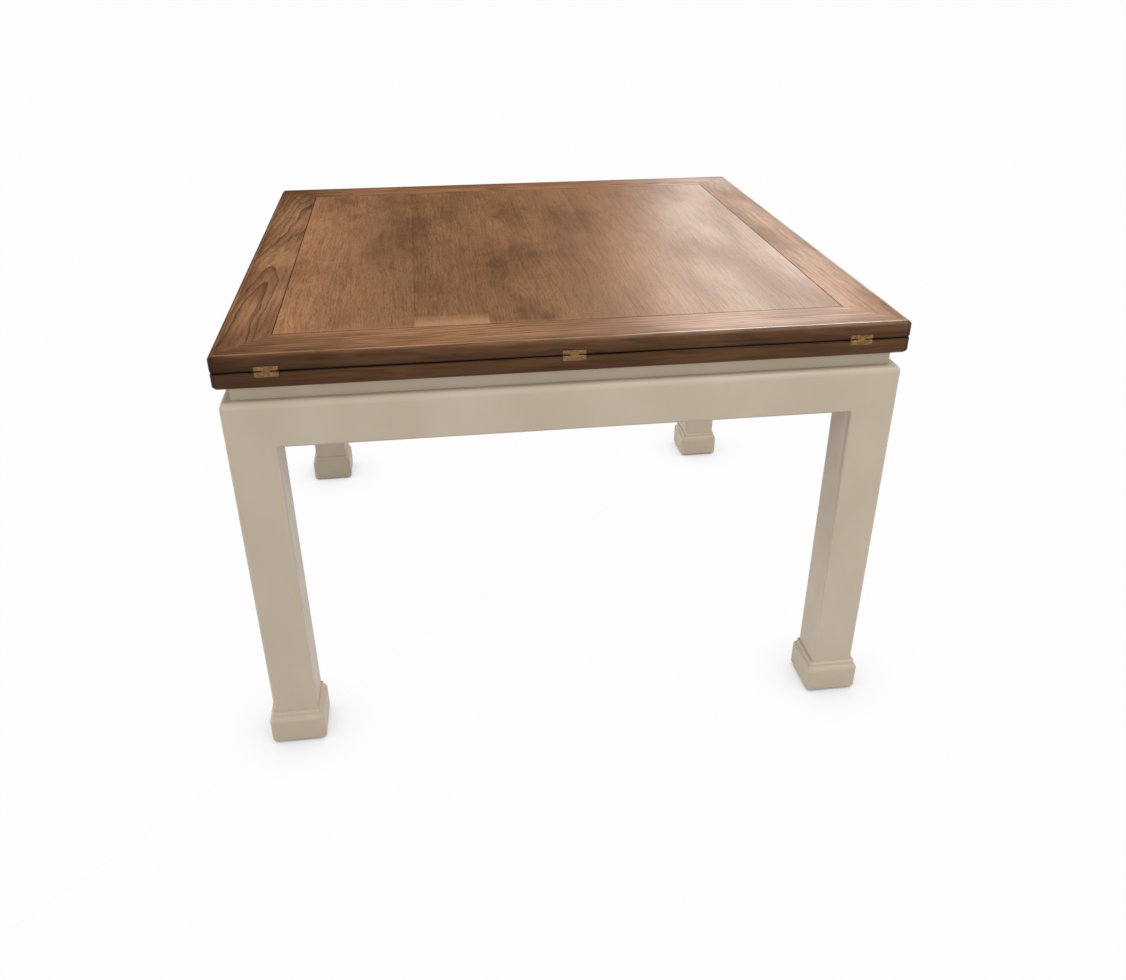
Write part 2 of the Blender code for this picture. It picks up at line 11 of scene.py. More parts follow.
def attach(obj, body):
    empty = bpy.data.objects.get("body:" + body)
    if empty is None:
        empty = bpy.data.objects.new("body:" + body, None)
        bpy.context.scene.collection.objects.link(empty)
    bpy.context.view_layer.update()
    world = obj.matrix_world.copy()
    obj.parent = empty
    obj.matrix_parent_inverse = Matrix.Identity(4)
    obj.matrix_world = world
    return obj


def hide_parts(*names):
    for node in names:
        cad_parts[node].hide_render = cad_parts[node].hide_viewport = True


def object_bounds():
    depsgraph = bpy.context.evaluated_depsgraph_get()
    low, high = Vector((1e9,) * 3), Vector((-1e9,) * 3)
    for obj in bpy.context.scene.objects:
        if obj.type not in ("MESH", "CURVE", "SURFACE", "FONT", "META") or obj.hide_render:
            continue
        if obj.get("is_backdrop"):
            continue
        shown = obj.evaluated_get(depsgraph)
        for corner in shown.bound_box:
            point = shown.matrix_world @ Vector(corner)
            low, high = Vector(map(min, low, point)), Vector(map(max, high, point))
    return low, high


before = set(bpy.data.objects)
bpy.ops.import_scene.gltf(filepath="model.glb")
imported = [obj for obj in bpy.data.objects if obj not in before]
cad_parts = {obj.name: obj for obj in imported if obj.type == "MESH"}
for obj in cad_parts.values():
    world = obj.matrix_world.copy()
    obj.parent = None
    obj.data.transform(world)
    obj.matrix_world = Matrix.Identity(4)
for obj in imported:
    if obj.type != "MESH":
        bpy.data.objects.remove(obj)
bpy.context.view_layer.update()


# Camera: held by hand in front of the table, left of its middle and above the top, looking down.
# Its place and focal length were worked out from the edges of the top and of the frame.

PHOTO_WIDTH = 1126
FOCAL_PIXELS = 999.59
SENSOR_WIDTH = 36.0
FARTHEST_SEEN = 1000.0
CAMERA_PLACE = (-0.21152, -1.92800, 1.26135)
CAMERA_YAW = 0.13779
CAMERA_PITCH = 0.51041
CAMERA_ROLL = -0.00194


def add_object(name, data):
    """A new object in the scene."""
    made = bpy.data.objects.new(name, data)
    bpy.context.scene.collection.objects.link(made)
    return made


camera_data = bpy.data.cameras.new("camera")
camera_data.sensor_fit = "HORIZONTAL"
camera_data.sensor_width = SENSOR_WIDTH
camera_data.lens = FOCAL_PIXELS / PHOTO_WIDTH * SENSOR_WIDTH
camera_data.clip_end = FARTHEST_SEEN
camera = add_object("camera", camera_data)
camera.matrix_world = (
    Matrix.Translation(CAMERA_PLACE)
    @ Matrix.Rotation(-CAMERA_YAW, 4, "Z")
    @ Matrix.Rotation(pi / 2 - CAMERA_PITCH, 4, "X")
    @ Matrix.Rotation(CAMERA_ROLL, 4, "Z")
)
bpy.context.scene.camera = camera
bpy.context.scene.view_settings.view_transform = "Standard"


# Studio: a wide white floor with a painted contact shadow, pale walls and ceiling, a softbox high in front
# and a tube lamp overhead.
# A window behind on the right leaves the sheen on the top; a dark cloth keeps the rest free of it.

FLOOR_REACH = 120.0
FLOOR_COLOUR = (0.58, 0.57, 0.55, 1.0)
FLOOR_SHOWN_WHITE = 0.975
CONTACT_SHADOW_REACH = 0.10
PAINTED_CONTACT_SHADOW = ((0.0, 0.10), (0.30, 0.45), (0.50, 0.76), (0.75, 0.93), (0.97, 1.0))
WALL_LIGHT = 0.12
CEILING_LIGHT = 0.40
FRONT_LIGHT = 0.66
LEFT_LIGHT = 2.40
RIGHT_LIGHT = 1.20
LAMPS = {
    "softbox": {
        "place": (1.60, -2.00, 4.10), "aim": (0.0, 0.0, 0.60), "size": (1.5, 1.2),
        "power": 79.0, "tint": (1.0, 1.0, 1.0),
    },
    "tube": {
        "place": (0.0, 1.10, 3.40), "aim": (0.0, -0.30, 0.73), "size": (1.8, 0.24),
        "power": 23.0, "tint": (1.0, 1.0, 1.0),
    },
    "window": {
        "place": (1.76, 3.50, 2.00), "aim": (0.35, 0.10, 0.73), "size": (1.36, 0.80),
        "power": 30.0, "tint": (1.0, 0.95, 0.89),
    },
}
CLOTH_PLACE = 3.00
CLOTH_WIDTH = (-3.20, 0.72)
CLOTH_HEIGHT = 4.20
CLOTH_COLOUR = (0.02, 0.02, 0.02, 1.0)


def add(tree, kind, inputs=None, **options):
    """A node with its options, and its inputs as values or as links from other nodes' outputs."""
    node = tree.nodes.new(kind)
    for option, value in options.items():
        setattr(node, option, value)
    for socket, value in (inputs or {}).items():
        if isinstance(value, bpy.types.NodeSocket):
            tree.links.new(value, node.inputs[socket])
        else:
            node.inputs[socket].default_value = value
    return node


def add_after(values, kind, inputs, **options):
    """A node in the tree of the first socket among some values."""
    tree = next(value.id_data for value in values if isinstance(value, bpy.types.NodeSocket))
    return add(tree, kind, inputs, **options)


def calculate(operation, *values):
    """The result of a Math node."""
    return add_after(values, "ShaderNodeMath", dict(enumerate(values)), operation=operation).outputs[0]


def vector(operation, *values, output=0):
    """The result of a Vector Math node."""
    node = add_after(values, "ShaderNodeVectorMath", dict(enumerate(values)), operation=operation)
    return node.outputs[output]


def fit(value, low, high, to_low, to_high):
    """A value moved smoothly from one range to another."""
    inputs = {"Value": value, "From Min": low, "From Max": high, "To Min": to_low, "To Max": to_high}
    node = add(value.id_data, "ShaderNodeMapRange", inputs, interpolation_type="SMOOTHSTEP")
    return node.outputs["Result"]


def ramp(value, stops, interpolation="LINEAR"):
    """The grey level that a value finds among stops of (position, level), the first of them at 0."""
    node = add(value.id_data, "ShaderNodeValToRGB", {"Fac": value})
    node.color_ramp.interpolation = interpolation
    elements = node.color_ramp.elements
    elements.remove(elements[1])
    for number, (position, level) in enumerate(stops):
        stop = elements[0] if number == 0 else elements.new(position)
        stop.color = (level, level, level, 1.0)
    return node.outputs["Color"]


def new_finish(name, **settings):
    """A material, its node tree and its shader, with the shader's even values set on their sockets."""
    material = bpy.data.materials.new(name)
    material.use_nodes = True
    shader = material.node_tree.nodes["Principled BSDF"]
    for socket, value in settings.items():
        shader.inputs[socket.replace("_", " ")].default_value = value
    return material, material.node_tree, shader


def add_screen(name, corners, material):
    """A flat sheet with four corners, for the floor and the cloth."""
    mesh = bpy.data.meshes.new(name)
    mesh.from_pydata(corners, [], [(0, 1, 2, 3)])
    mesh.materials.append(material)
    return add_object(name, mesh)


floor_white, tree, shader = new_finish("floor_white")
tree.nodes.remove(shader)
rays = add(tree, "ShaderNodeLightPath").outputs
seen = calculate("MAXIMUM", rays["Is Camera Ray"], rays["Is Glossy Ray"])
seen = calculate("MAXIMUM", seen, rays["Is Transmission Ray"])
matt = add(tree, "ShaderNodeBsdfDiffuse", {"Color": FLOOR_COLOUR})
# The floor's white is darkened by ambient occlusion near the feet: a painted contact shadow.
occlusion = add(tree, "ShaderNodeAmbientOcclusion", {"Distance": CONTACT_SHADOW_REACH}, samples=8).outputs["AO"]
white = add(tree, "ShaderNodeEmission", {"Color": ramp(occlusion, PAINTED_CONTACT_SHADOW), "Strength": 1.0})
shown = add(tree, "ShaderNodeMixShader", {
    0: calculate("MULTIPLY", seen, FLOOR_SHOWN_WHITE), 1: matt.outputs[0], 2: white.outputs[0],
})
tree.links.new(shown.outputs[0], tree.nodes["Material Output"].inputs["Surface"])
floor_corners = [(x * FLOOR_REACH, y * FLOOR_REACH, 0) for x, y in ((-1, -1), (1, -1), (1, 1), (-1, 1))]
floor = add_screen("floor", floor_corners, floor_white)
floor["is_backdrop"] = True

studio = bpy.data.worlds.new("studio")
studio.use_nodes = True
tree = studio.node_tree
direction = add(tree, "ShaderNodeTexCoord").outputs["Generated"]
parts = add(tree, "ShaderNodeSeparateXYZ", {"Vector": direction}).outputs
level = fit(parts["Z"], 0.10, 0.90, WALL_LIGHT, CEILING_LIGHT)
around = fit(parts["Y"], -1.0, 0.0, FRONT_LIGHT, 0.0)
around = calculate("ADD", around, fit(parts["X"], -1.0, 0.0, LEFT_LIGHT, 0.0))
around = calculate("ADD", around, fit(parts["X"], 0.0, 1.0, 0.0, RIGHT_LIGHT))
low = fit(parts["Z"], 0.20, 0.75, 1.0, 0.0)
level = calculate("MULTIPLY_ADD", low, around, level)
tree.links.new(level, tree.nodes["Background"].inputs["Strength"])
tree.nodes["Background"].inputs["Color"].default_value = (1.0, 1.0, 1.0, 1.0)
bpy.context.scene.world = studio

for name, lamp in LAMPS.items():
    lamp_data = bpy.data.lights.new(name, "AREA")
    lamp_data.shape = "RECTANGLE"
    lamp_data.size, lamp_data.size_y = lamp["size"]
    lamp_data.energy = lamp["power"]
    lamp_data.color = lamp["tint"]
    lamp_object = add_object(name, lamp_data)
    lamp_object.location = lamp["place"]
    aim = Vector(lamp["aim"]) - Vector(lamp["place"])
    lamp_object.rotation_euler = aim.to_track_quat("-Z", "Y").to_euler()
    lamp_object.visible_camera = False

left, right = CLOTH_WIDTH
cloth_corners = [(left, 0.0), (right, 0.0), (right, CLOTH_HEIGHT), (left, CLOTH_HEIGHT)]
cloth_black, tree, shader = new_finish("cloth_black", Base_Color=CLOTH_COLOUR, Roughness=1.0)
cloth = add_screen("dark_cloth", [(x, CLOTH_PLACE, z) for x, z in cloth_corners], cloth_black)
cloth.visible_camera = False
cloth.visible_diffuse = False
cloth.visible_shadow = False
cloth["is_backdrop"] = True


# Glides: four round nylon pads that are nailed under the feet and keep them off the floor.
# Each is moulded with a rounded rim and a sunk middle for the nail's head.

LEG_PLACE = 0.4925
GLIDE_RADIUS = 0.016
GLIDE_HEIGHT = 0.003
GLIDE_EASE = 0.0006
GLIDE_RIM = 0.0014
SINK_PROFILE = ((0.0062, 0.0), (0.0052, 0.0003), (0.0048, 0.0012), (0, 0.0014))
NYLON_BLACK = (0.022, 0.022, 0.023)
NYLON_SCUFFED = (0.055, 0.053, 0.050)
TURNED_STEPS = 48
MERGE = 0.000001


def skin(rings, ends="capped"):
    """A closed bmesh over rings of points: its two ends capped, or joined to each other."""
    bm = bmesh.new()
    rows = [[bm.verts.new(point) for point in ring] for ring in rings]
    pairs = list(zip(rows, rows[1:]))
    if ends == "joined":
        pairs.append((rows[-1], rows[0]))
    else:
        bm.faces.new(reversed(rows[0]))
        bm.faces.new(rows[-1])
    for first, second in pairs:
        for i, j in zip(range(len(first)), list(range(1, len(first))) + [0]):
            bm.faces.new((first[i], first[j], second[j], second[i]))
    bmesh.ops.remove_doubles(bm, verts=bm.verts, dist=MERGE)
    bmesh.ops.dissolve_degenerate(bm, edges=bm.edges, dist=MERGE)
    bmesh.ops.recalc_face_normals(bm, faces=bm.faces)
    return bm


def turned(profile, ends="capped", steps=TURNED_STEPS, place=(0, 0)):
    """A bmesh turned about an upright axis from (radius, height) points."""
    turns = [(cos(2 * pi * step / steps), sin(2 * pi * step / steps)) for step in range(steps)]
    rings = [[(place[0] + r * x, place[1] + r * y, z) for x, y in turns] for r, z in profile]
    return skin(rings, ends)


def arc(middle, radius, start, end, steps):
    """Points on an arc in a profile, with its angles in degrees."""
    angles = [radians(start + (end - start) * step / steps) for step in range(steps + 1)]
    return [(middle[0] + radius * cos(angle), middle[1] + radius * sin(angle)) for angle in angles]


def add_piece(name, bm, material=None, sharp_from=40):
    """An object of a bmesh, smooth but for edges sharper than an angle in degrees."""
    mesh = bpy.data.meshes.new(name)
    bm.to_mesh(mesh)
    bm.free()
    mesh.shade_smooth()
    mesh.set_sharp_from_angle(angle=radians(sharp_from))
    if material:
        mesh.materials.append(material)
    return add_object(name, mesh)


def settle(piece):
    """Replace a piece's mesh by what its modifiers make of it, and remove them."""
    bpy.context.view_layer.update()
    evaluated = piece.evaluated_get(bpy.context.evaluated_depsgraph_get())
    mesh = bpy.data.meshes.new_from_object(evaluated)
    piece.modifiers.clear()
    piece.data = mesh


def repeating_tree(name, sizes):
    """A node tree with inputs for a mesh, named sizes and a finish, and that tree's input node."""
    tree = bpy.data.node_groups.new(name, "GeometryNodeTree")
    tree.interface.new_socket("Mesh", in_out="INPUT", socket_type="NodeSocketGeometry")
    for size, kind in sizes.items():
        tree.interface.new_socket(size, in_out="INPUT", socket_type=kind)
    tree.interface.new_socket("Finish", in_out="INPUT", socket_type="NodeSocketMaterial")
    tree.interface.new_socket("Mesh", in_out="OUTPUT", socket_type="NodeSocketGeometry")
    return tree, tree.nodes.new("NodeGroupInput").outputs


def repeat_on(tree, given, points):
    """The end of such a tree: the mesh at every point, as one real mesh with its finish."""
    copies = add(tree, "GeometryNodeInstanceOnPoints", {"Points": points, "Instance": given["Mesh"]})
    real = add(tree, "GeometryNodeRealizeInstances", {"Geometry": copies.outputs["Instances"]})
    finished = add(tree, "GeometryNodeSetMaterial", {
        "Geometry": real.outputs["Geometry"], "Material": given["Finish"],
    })
    add(tree, "NodeGroupOutput", {"Mesh": finished.outputs["Geometry"]})


def repeat(piece, tree, **inputs):
    """Run such a tree on a piece's mesh, with its inputs by name, and keep the mesh that comes out."""
    modifier = piece.modifiers.new(tree.name, "NODES")
    modifier.node_group = tree
    for item in tree.interface.items_tree:
        if item.in_out == "INPUT" and item.name in inputs:
            modifier[item.identifier] = inputs[item.name]
    settle(piece)


four_corners, given = repeating_tree("four_corners", {"Spread": "NodeSocketFloat"})
corner_points = add(four_corners, "GeometryNodeMeshGrid", {
    "Size X": given["Spread"], "Size Y": given["Spread"], "Vertices X": 2, "Vertices Y": 2,
})
repeat_on(four_corners, given, corner_points.outputs["Mesh"])


def noise(place, stretch, detail=2.0, roughness=0.5, output="Fac"):
    """Noise of so many cells to the metre along each axis."""
    return add(place.id_data, "ShaderNodeTexNoise", {
        "Vector": vector("MULTIPLY", place, stretch),
        "Scale": 1.0, "Detail": detail, "Roughness": roughness,
    }).outputs[output]


def mixed(factor, first, second):
    """A mix of two colours."""
    colours = {6: first, 7: second}
    for socket, colour in colours.items():
        if not isinstance(colour, bpy.types.NodeSocket):
            colours[socket] = (*colour, 1.0)
    return add(factor.id_data, "ShaderNodeMix", {0: factor, **colours}, data_type="RGBA").outputs[2]


def drive(shader, **sockets):
    """Link values to a shader's sockets."""
    for socket, value in sockets.items():
        shader.id_data.links.new(value, shader.inputs[socket.replace("_", " ")])


def raise_surface(shader, height, distance):
    """Bump of so many metres on a shader."""
    bump = add(shader.id_data, "ShaderNodeBump", {"Height": height, "Strength": 1.0, "Distance": distance})
    drive(shader, Normal=bump.outputs["Normal"])


def spotted_finish(name, metallic, spots, colours, roughness, texture, raised):
    """A material with spots of two colours and of uneven shine, and a fine raised texture.

    The spots are given as cells to the metre and where their colour starts and ends in the noise.
    """
    material, tree, shader = new_finish(name, Metallic=metallic)
    place = add(tree, "ShaderNodeTexCoord").outputs["Object"]
    cells, start, end = spots
    pattern = noise(place, (cells, cells, cells), 4, 0.6)
    colour = mixed(fit(pattern, start, end, 0, 1), *colours)
    drive(shader, Base_Color=colour, Roughness=fit(pattern, 0.3, 0.7, *roughness))
    raise_surface(shader, noise(place, texture), raised)
    return material


black_nylon = spotted_finish(
    "black_nylon", 0.0, spots=(260, 0.45, 0.75), colours=(NYLON_BLACK, NYLON_SCUFFED),
    roughness=(0.42, 0.62), texture=(1800, 1800, 1800), raised=0.00003,
)
glide_profile = [(0, GLIDE_HEIGHT), (GLIDE_RADIUS - GLIDE_EASE, GLIDE_HEIGHT)]
glide_profile += arc((GLIDE_RADIUS - GLIDE_EASE, GLIDE_HEIGHT - GLIDE_EASE), GLIDE_EASE, 90, 0, 4)
glide_profile += arc((GLIDE_RADIUS - GLIDE_RIM, GLIDE_RIM), GLIDE_RIM, 0, -90, 6)
glide_profile += SINK_PROFILE
glides = add_piece("glides", turned(glide_profile))
repeat(glides, four_corners, Spread=2 * LEG_PLACE, Finish=black_nylon)
CORNERS = ("front_left", "front_right", "back_left", "back_right")
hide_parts(*("glide_" + corner for corner in CORNERS))
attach(glides, "base")


# Feet: four square blocks in two steps under the legs, with a rounded shoulder below the riser.
# They are shaped from solid wood, glued under the legs and sprayed taupe with them.

FOOT_TOP = 0.064
FOOT_BOTTOM = 0.0033
RISER_HALF = 0.042
RISER_FOOT = 0.055
BLOCK_HALF = 0.047
SHOULDER_FOOT = 0.047
LEDGE_ROUND = 0.0040
COVE = 0.0003
COVE_RISE = 0.0008
FOOT_ROUND = 0.0045
FOOT_TOP_HALF = 0.020
FOOT_BOTTOM_HALF = 0.012
SHOULDER_STEPS = 10
SHOULDER_BULGE = 0.55
RISER_CORNER = 0.0060
BLOCK_CORNER = 0.0070
LARGEST_CORNER = 0.4
PAINT_TAUPE = (0.525, 0.446, 0.350)
PAINT_SHADE = (0.485, 0.408, 0.316)
PAINT_LOW_DOWN = (0.400, 0.320, 0.225)
LOW_DOWN_HEIGHT = 0.075


def share_of(value):
    """A value kept between 0 and 1."""
    return min(1.0, max(0.0, value))


def even_shading(piece):
    """Let a piece's large faces lead its shading, so that they stay flat beside their rounds."""
    weighted = piece.modifiers.new("even_shading", "WEIGHTED_NORMAL")
    weighted.keep_sharp = True
    settle(piece)


def rounded_square(half, corner, height, steps=8):
    """A square loop of points with rounded corners."""
    middle = half - corner
    loop = []
    for quarter, (side_x, side_y) in enumerate(((1, 1), (-1, 1), (-1, -1), (1, -1))):
        start = 90 * quarter
        loop += arc((side_x * middle, side_y * middle), corner, start, start + 90, steps)
    return [(x, y, height) for x, y in loop]


taupe_paint, tree, shader = new_finish("taupe_paint", Metallic=0.0, Specular_IOR_Level=0.24)
place = add(tree, "ShaderNodeTexCoord").outputs["Object"]
clouds = noise(place, (9, 9, 5), 4, 0.55)
colour = mixed(fit(clouds, 0.30, 0.72, 0, 1), PAINT_SHADE, PAINT_TAUPE)
height = add(tree, "ShaderNodeSeparateXYZ", {"Vector": place}).outputs["Z"]
# The paint turns darker and warmer towards the floor, in patches.
low_down = fit(height, 0.0, LOW_DOWN_HEIGHT, 0.55, 0.0)
low_down = calculate("MULTIPLY", low_down, noise(place, (70, 70, 110), 4))
colour = mixed(low_down, colour, PAINT_LOW_DOWN)
satin = fit(noise(place, (60, 60, 24), 3), 0.3, 0.7, 0.36, 0.44)
drive(shader, Base_Color=colour, Roughness=satin)
peel = noise(place, (420, 420, 420), 1.0)
brush = noise(place, (300, 300, 18), 2.0)
raise_surface(shader, calculate("ADD", peel, brush), 0.00003)

foot_profile = [(FOOT_TOP_HALF, FOOT_TOP)]
foot_profile += arc((RISER_HALF - LEDGE_ROUND, FOOT_TOP - LEDGE_ROUND), LEDGE_ROUND, 90, 0, 6)
foot_profile += [(RISER_HALF, RISER_FOOT + COVE_RISE), (RISER_HALF + COVE, RISER_FOOT + COVE_RISE / 8)]
for step in range(1, SHOULDER_STEPS + 1):
    share = step / SHOULDER_STEPS
    across = SHOULDER_BULGE * sin(pi / 2 * share) + (1 - SHOULDER_BULGE) * share
    down = SHOULDER_BULGE * (1 - cos(pi / 2 * share)) + (1 - SHOULDER_BULGE) * share
    out = RISER_HALF + COVE + (BLOCK_HALF - RISER_HALF - COVE) * across
    foot_profile.append((out, RISER_FOOT - (RISER_FOOT - SHOULDER_FOOT) * down))
foot_profile += arc((BLOCK_HALF - FOOT_ROUND, FOOT_BOTTOM + FOOT_ROUND), FOOT_ROUND, 0, -90, 6)
foot_profile.append((FOOT_BOTTOM_HALF, FOOT_BOTTOM))
foot_rings = []
for half, height in foot_profile:
    share = share_of((half - RISER_HALF) / (BLOCK_HALF - RISER_HALF))
    corner = RISER_CORNER + (BLOCK_CORNER - RISER_CORNER) * share
    foot_rings.append(rounded_square(half, min(corner, half * LARGEST_CORNER), height))
feet = add_piece("feet", skin(foot_rings), sharp_from=50)
even_shading(feet)
repeat(feet, four_corners, Spread=2 * LEG_PLACE, Finish=taupe_paint)
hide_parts(*("foot_" + corner for corner in CORNERS))
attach(feet, "base")


# Painted frame: four square legs with flush aprons between them, filled and sprayed as one piece.
# The outer corners and the outer top arris are rounded over; the other edges are only eased.

FRAME_HALF = 0.5305
LEG_SIZE = 0.076
APRON_THICKNESS = 0.028
LEG_BOTTOM = 0.0640
APRON_BOTTOM = 0.5786
FRAME_TOP = 0.6531
FRAME_ROUND = 0.010
EASED_SHARE = 0.36
BEVEL_WEIGHT = "bevel_weight_edge"
CREASE = radians(50)
FLAT = radians(1)
SAME = 0.00001


def filled_cells(levels_x, levels_y, levels_z, filled):
    """A closed bmesh of the cells of a grid that a test picks, with flat faces joined."""
    bm = bmesh.new()
    made = {}
    counts = (len(levels_x) - 1, len(levels_y) - 1, len(levels_z) - 1)
    cells = [(i, j, k) for i in range(counts[0]) for j in range(counts[1]) for k in range(counts[2])]
    inside = {cell for cell in cells if filled(*cell)}

    def corner_vert(i, j, k):
        if (i, j, k) not in made:
            made[i, j, k] = bm.verts.new((levels_x[i], levels_y[j], levels_z[k]))
        return made[i, j, k]

    square = ((0, 0), (1, 0), (1, 1), (0, 1))
    for cell in sorted(inside):
        for axis in range(3):
            for side in (0, 1):
                beside = list(cell)
                beside[axis] += 1 if side else -1
                if tuple(beside) in inside:
                    continue
                face = []
                for first, second in square:
                    index = list(cell)
                    index[axis] += side
                    index[(axis + 1) % 3] += first
                    index[(axis + 2) % 3] += second
                    face.append(corner_vert(*index))
                bm.faces.new(face)
    bmesh.ops.dissolve_limit(bm, angle_limit=FLAT, verts=bm.verts, edges=bm.edges)
    bmesh.ops.recalc_face_normals(bm, faces=bm.faces)
    return bm


def bevelled(piece, width, steps):
    """Round the weighted edges of a piece and keep its flat faces flat."""
    bevel = piece.modifiers.new("rounding", "BEVEL")
    bevel.limit_method = "WEIGHT"
    bevel.width = width
    bevel.segments = steps
    bevel.use_clamp_overlap = False
    settle(piece)
    piece.data.shade_smooth()
    piece.data.set_sharp_from_angle(angle=CREASE)
    even_shading(piece)


def near(*pairs):
    """Whether the two numbers of every pair are the same but for rounding."""
    return all(abs(first - second) < SAME for first, second in pairs)


half_levels = (FRAME_HALF, FRAME_HALF - APRON_THICKNESS, FRAME_HALF - LEG_SIZE)
plan_levels = [-level for level in half_levels] + list(reversed(half_levels))


def in_frame(i, j, k):
    """Legs run through both heights; aprons only through the upper one."""
    leg = i != 2 and j != 2
    apron = k == 1 and (i in (0, 4) or j in (0, 4))
    return leg or apron


bm = filled_cells(plan_levels, plan_levels, (LEG_BOTTOM, APRON_BOTTOM, FRAME_TOP), in_frame)
weights = bm.edges.layers.float.new(BEVEL_WEIGHT)
for edge in bm.edges:
    a, b = (vert.co for vert in edge.verts)
    outer_x = near((abs(a.x), FRAME_HALF), (a.x, b.x))
    outer_y = near((abs(a.y), FRAME_HALF), (a.y, b.y))
    at_top = near((a.z, FRAME_TOP), (b.z, FRAME_TOP))
    at_bottom = near((a.z, LEG_BOTTOM), (b.z, LEG_BOTTOM))
    if (outer_x and outer_y) or (at_top and (outer_x or outer_y)):
        edge[weights] = 1.0
    elif edge.is_convex and not at_top and not at_bottom:
        edge[weights] = EASED_SHARE
painted_frame = add_piece("painted_frame", bm, taupe_paint, sharp_from=180)
bevelled(painted_frame, FRAME_ROUND, 6)
SIDES = ("front", "right", "back", "left")
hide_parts(*("leg_" + corner for corner in CORNERS), *("apron_" + side for side in SIDES))
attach(painted_frame, "base")


# Waist: a ring of four mitred boards set back on top of the frame, which carries the top.
# It is glued down and sprayed with the frame, so that its mitres don't show.

WAIST_HALF = 0.5135
WAIST_WIDTH = 0.065
WAIST_BOTTOM = 0.6532
WAIST_TOP = 0.6769
WAIST_EASING = 0.0012
WAIST_FOOT_SHARE = 0.2

waist_levels = (-WAIST_HALF, WAIST_WIDTH - WAIST_HALF, WAIST_HALF - WAIST_WIDTH, WAIST_HALF)
bm = filled_cells(waist_levels, waist_levels, (WAIST_BOTTOM, WAIST_TOP), lambda i, j, k: (i, j) != (1, 1))
weights = bm.edges.layers.float.new(BEVEL_WEIGHT)
for edge in bm.edges:
    on_frame = all(near((vert.co.z, WAIST_BOTTOM)) for vert in edge.verts)
    edge[weights] = WAIST_FOOT_SHARE if on_frame else float(edge.is_convex)
waist = add_piece("waist", bm, taupe_paint, sharp_from=180)
bevelled(waist, WAIST_EASING, 3)
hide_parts(*("waist_" + side for side in SIDES))
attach(waist, "base")


# Corner blocks and pivot rail: raw poplar inside the frame. The blocks are notched round the legs
# and glued behind the aprons; the rail is let in between the waist boards and carries the swivel.

POPLAR_PALE = (0.640, 0.520, 0.340)
POPLAR_WARM = (0.520, 0.390, 0.225)
POPLAR_GREEN = (0.400, 0.350, 0.210)
SAWN_EASING = 0.0010
SAWN_EDGE = radians(30)

raw_poplar, tree, shader = new_finish("raw_poplar", Metallic=0.0, Roughness=0.72, Specular_IOR_Level=0.30)
place = add(tree, "ShaderNodeTexCoord").outputs["Object"]
bands = noise(place, (55, 4, 55), 3, 0.6)
colour = mixed(fit(bands, 0.3, 0.7, 0, 1), POPLAR_PALE, POPLAR_WARM)
streaks = noise(place, (26, 1.6, 26), 2)
colour = mixed(fit(streaks, 0.56, 0.72, 0, 0.8), colour, POPLAR_GREEN)
fibres = noise(place, (900, 22, 900), 2)
colour = mixed(fit(fibres, 0.35, 0.75, 0, 0.35), colour, POPLAR_WARM)
drive(shader, Base_Color=colour)
saw = noise(place, (30, 420, 30), 2)
raise_surface(shader, calculate("ADD", fibres, saw), 0.00008)


def eased_copy(node, name, material, width):
    """A copy of a CAD node, merged, with its sharp edges eased."""
    bm = bmesh.new()
    bm.from_mesh(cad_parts[node].data)
    bmesh.ops.remove_doubles(bm, verts=bm.verts, dist=SAME)
    bmesh.ops.dissolve_limit(bm, angle_limit=FLAT, verts=bm.verts, edges=bm.edges)
    bmesh.ops.recalc_face_normals(bm, faces=bm.faces)
    weights = bm.edges.layers.float.new(BEVEL_WEIGHT)
    for edge in bm.edges:
        if edge.is_convex and edge.calc_face_angle() > SAWN_EDGE:
            edge[weights] = 1.0
    piece = add_piece(name, bm, material, sharp_from=180)
    bevelled(piece, width, 2)
    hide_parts(node)
    return piece


for node in ["corner_block_" + corner for corner in CORNERS] + ["pivot_rail"]:
    name = node.replace("corner", "poplar").replace("pivot", "poplar_pivot")
    block = eased_copy(node, name, raw_poplar, SAWN_EASING)
    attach(block, "base")


# Pivot bush: a turned brass sleeve pressed into the pivot rail from below, with a thin collar.
# The stud of the top turns in it.

PIVOT = (-0.26675, -0.26675)
UNDERSIDE = 0.6774
BUSH_RADIUS = 0.012
BUSH_BORE = 0.00825
COLLAR_RADIUS = 0.017
COLLAR_TOP = 0.6531
COLLAR_BOTTOM = 0.6511
TURNED_EDGE = 0.0004
BRASS_BRIGHT = (0.282, 0.170, 0.074)
BRASS_DULL = (0.174, 0.096, 0.039)

aged_brass = spotted_finish(
    "aged_brass", 1.0, spots=(190, 0.32, 0.66), colours=(BRASS_BRIGHT, BRASS_DULL),
    roughness=(0.48, 0.62), texture=(60, 2600, 2600), raised=0.00002,
)
bush_profile = [
    (BUSH_RADIUS - TURNED_EDGE, WAIST_TOP),
    (BUSH_RADIUS, WAIST_TOP - TURNED_EDGE),
    (BUSH_RADIUS, COLLAR_TOP),
    (COLLAR_RADIUS - TURNED_EDGE, COLLAR_TOP),
    (COLLAR_RADIUS, COLLAR_TOP - TURNED_EDGE),
    (COLLAR_RADIUS, COLLAR_BOTTOM + TURNED_EDGE),
    (COLLAR_RADIUS - TURNED_EDGE, COLLAR_BOTTOM),
    (BUSH_BORE + TURNED_EDGE, COLLAR_BOTTOM),
    (BUSH_BORE, COLLAR_BOTTOM + TURNED_EDGE),
    (BUSH_BORE, WAIST_TOP - TURNED_EDGE),
    (BUSH_BORE + TURNED_EDGE, WAIST_TOP),
]
bush = add_piece("swivel_bush", turned(bush_profile, "joined", place=PIVOT), aged_brass, sharp_from=30)
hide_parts("pivot_bush")
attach(bush, "base")


# Lower leaf: four mitred walnut-stained border rails round a veneered panel, glued edge to edge.
# The outer edge is a sloped arris; the small round at the meeting face clears the hinge pins.

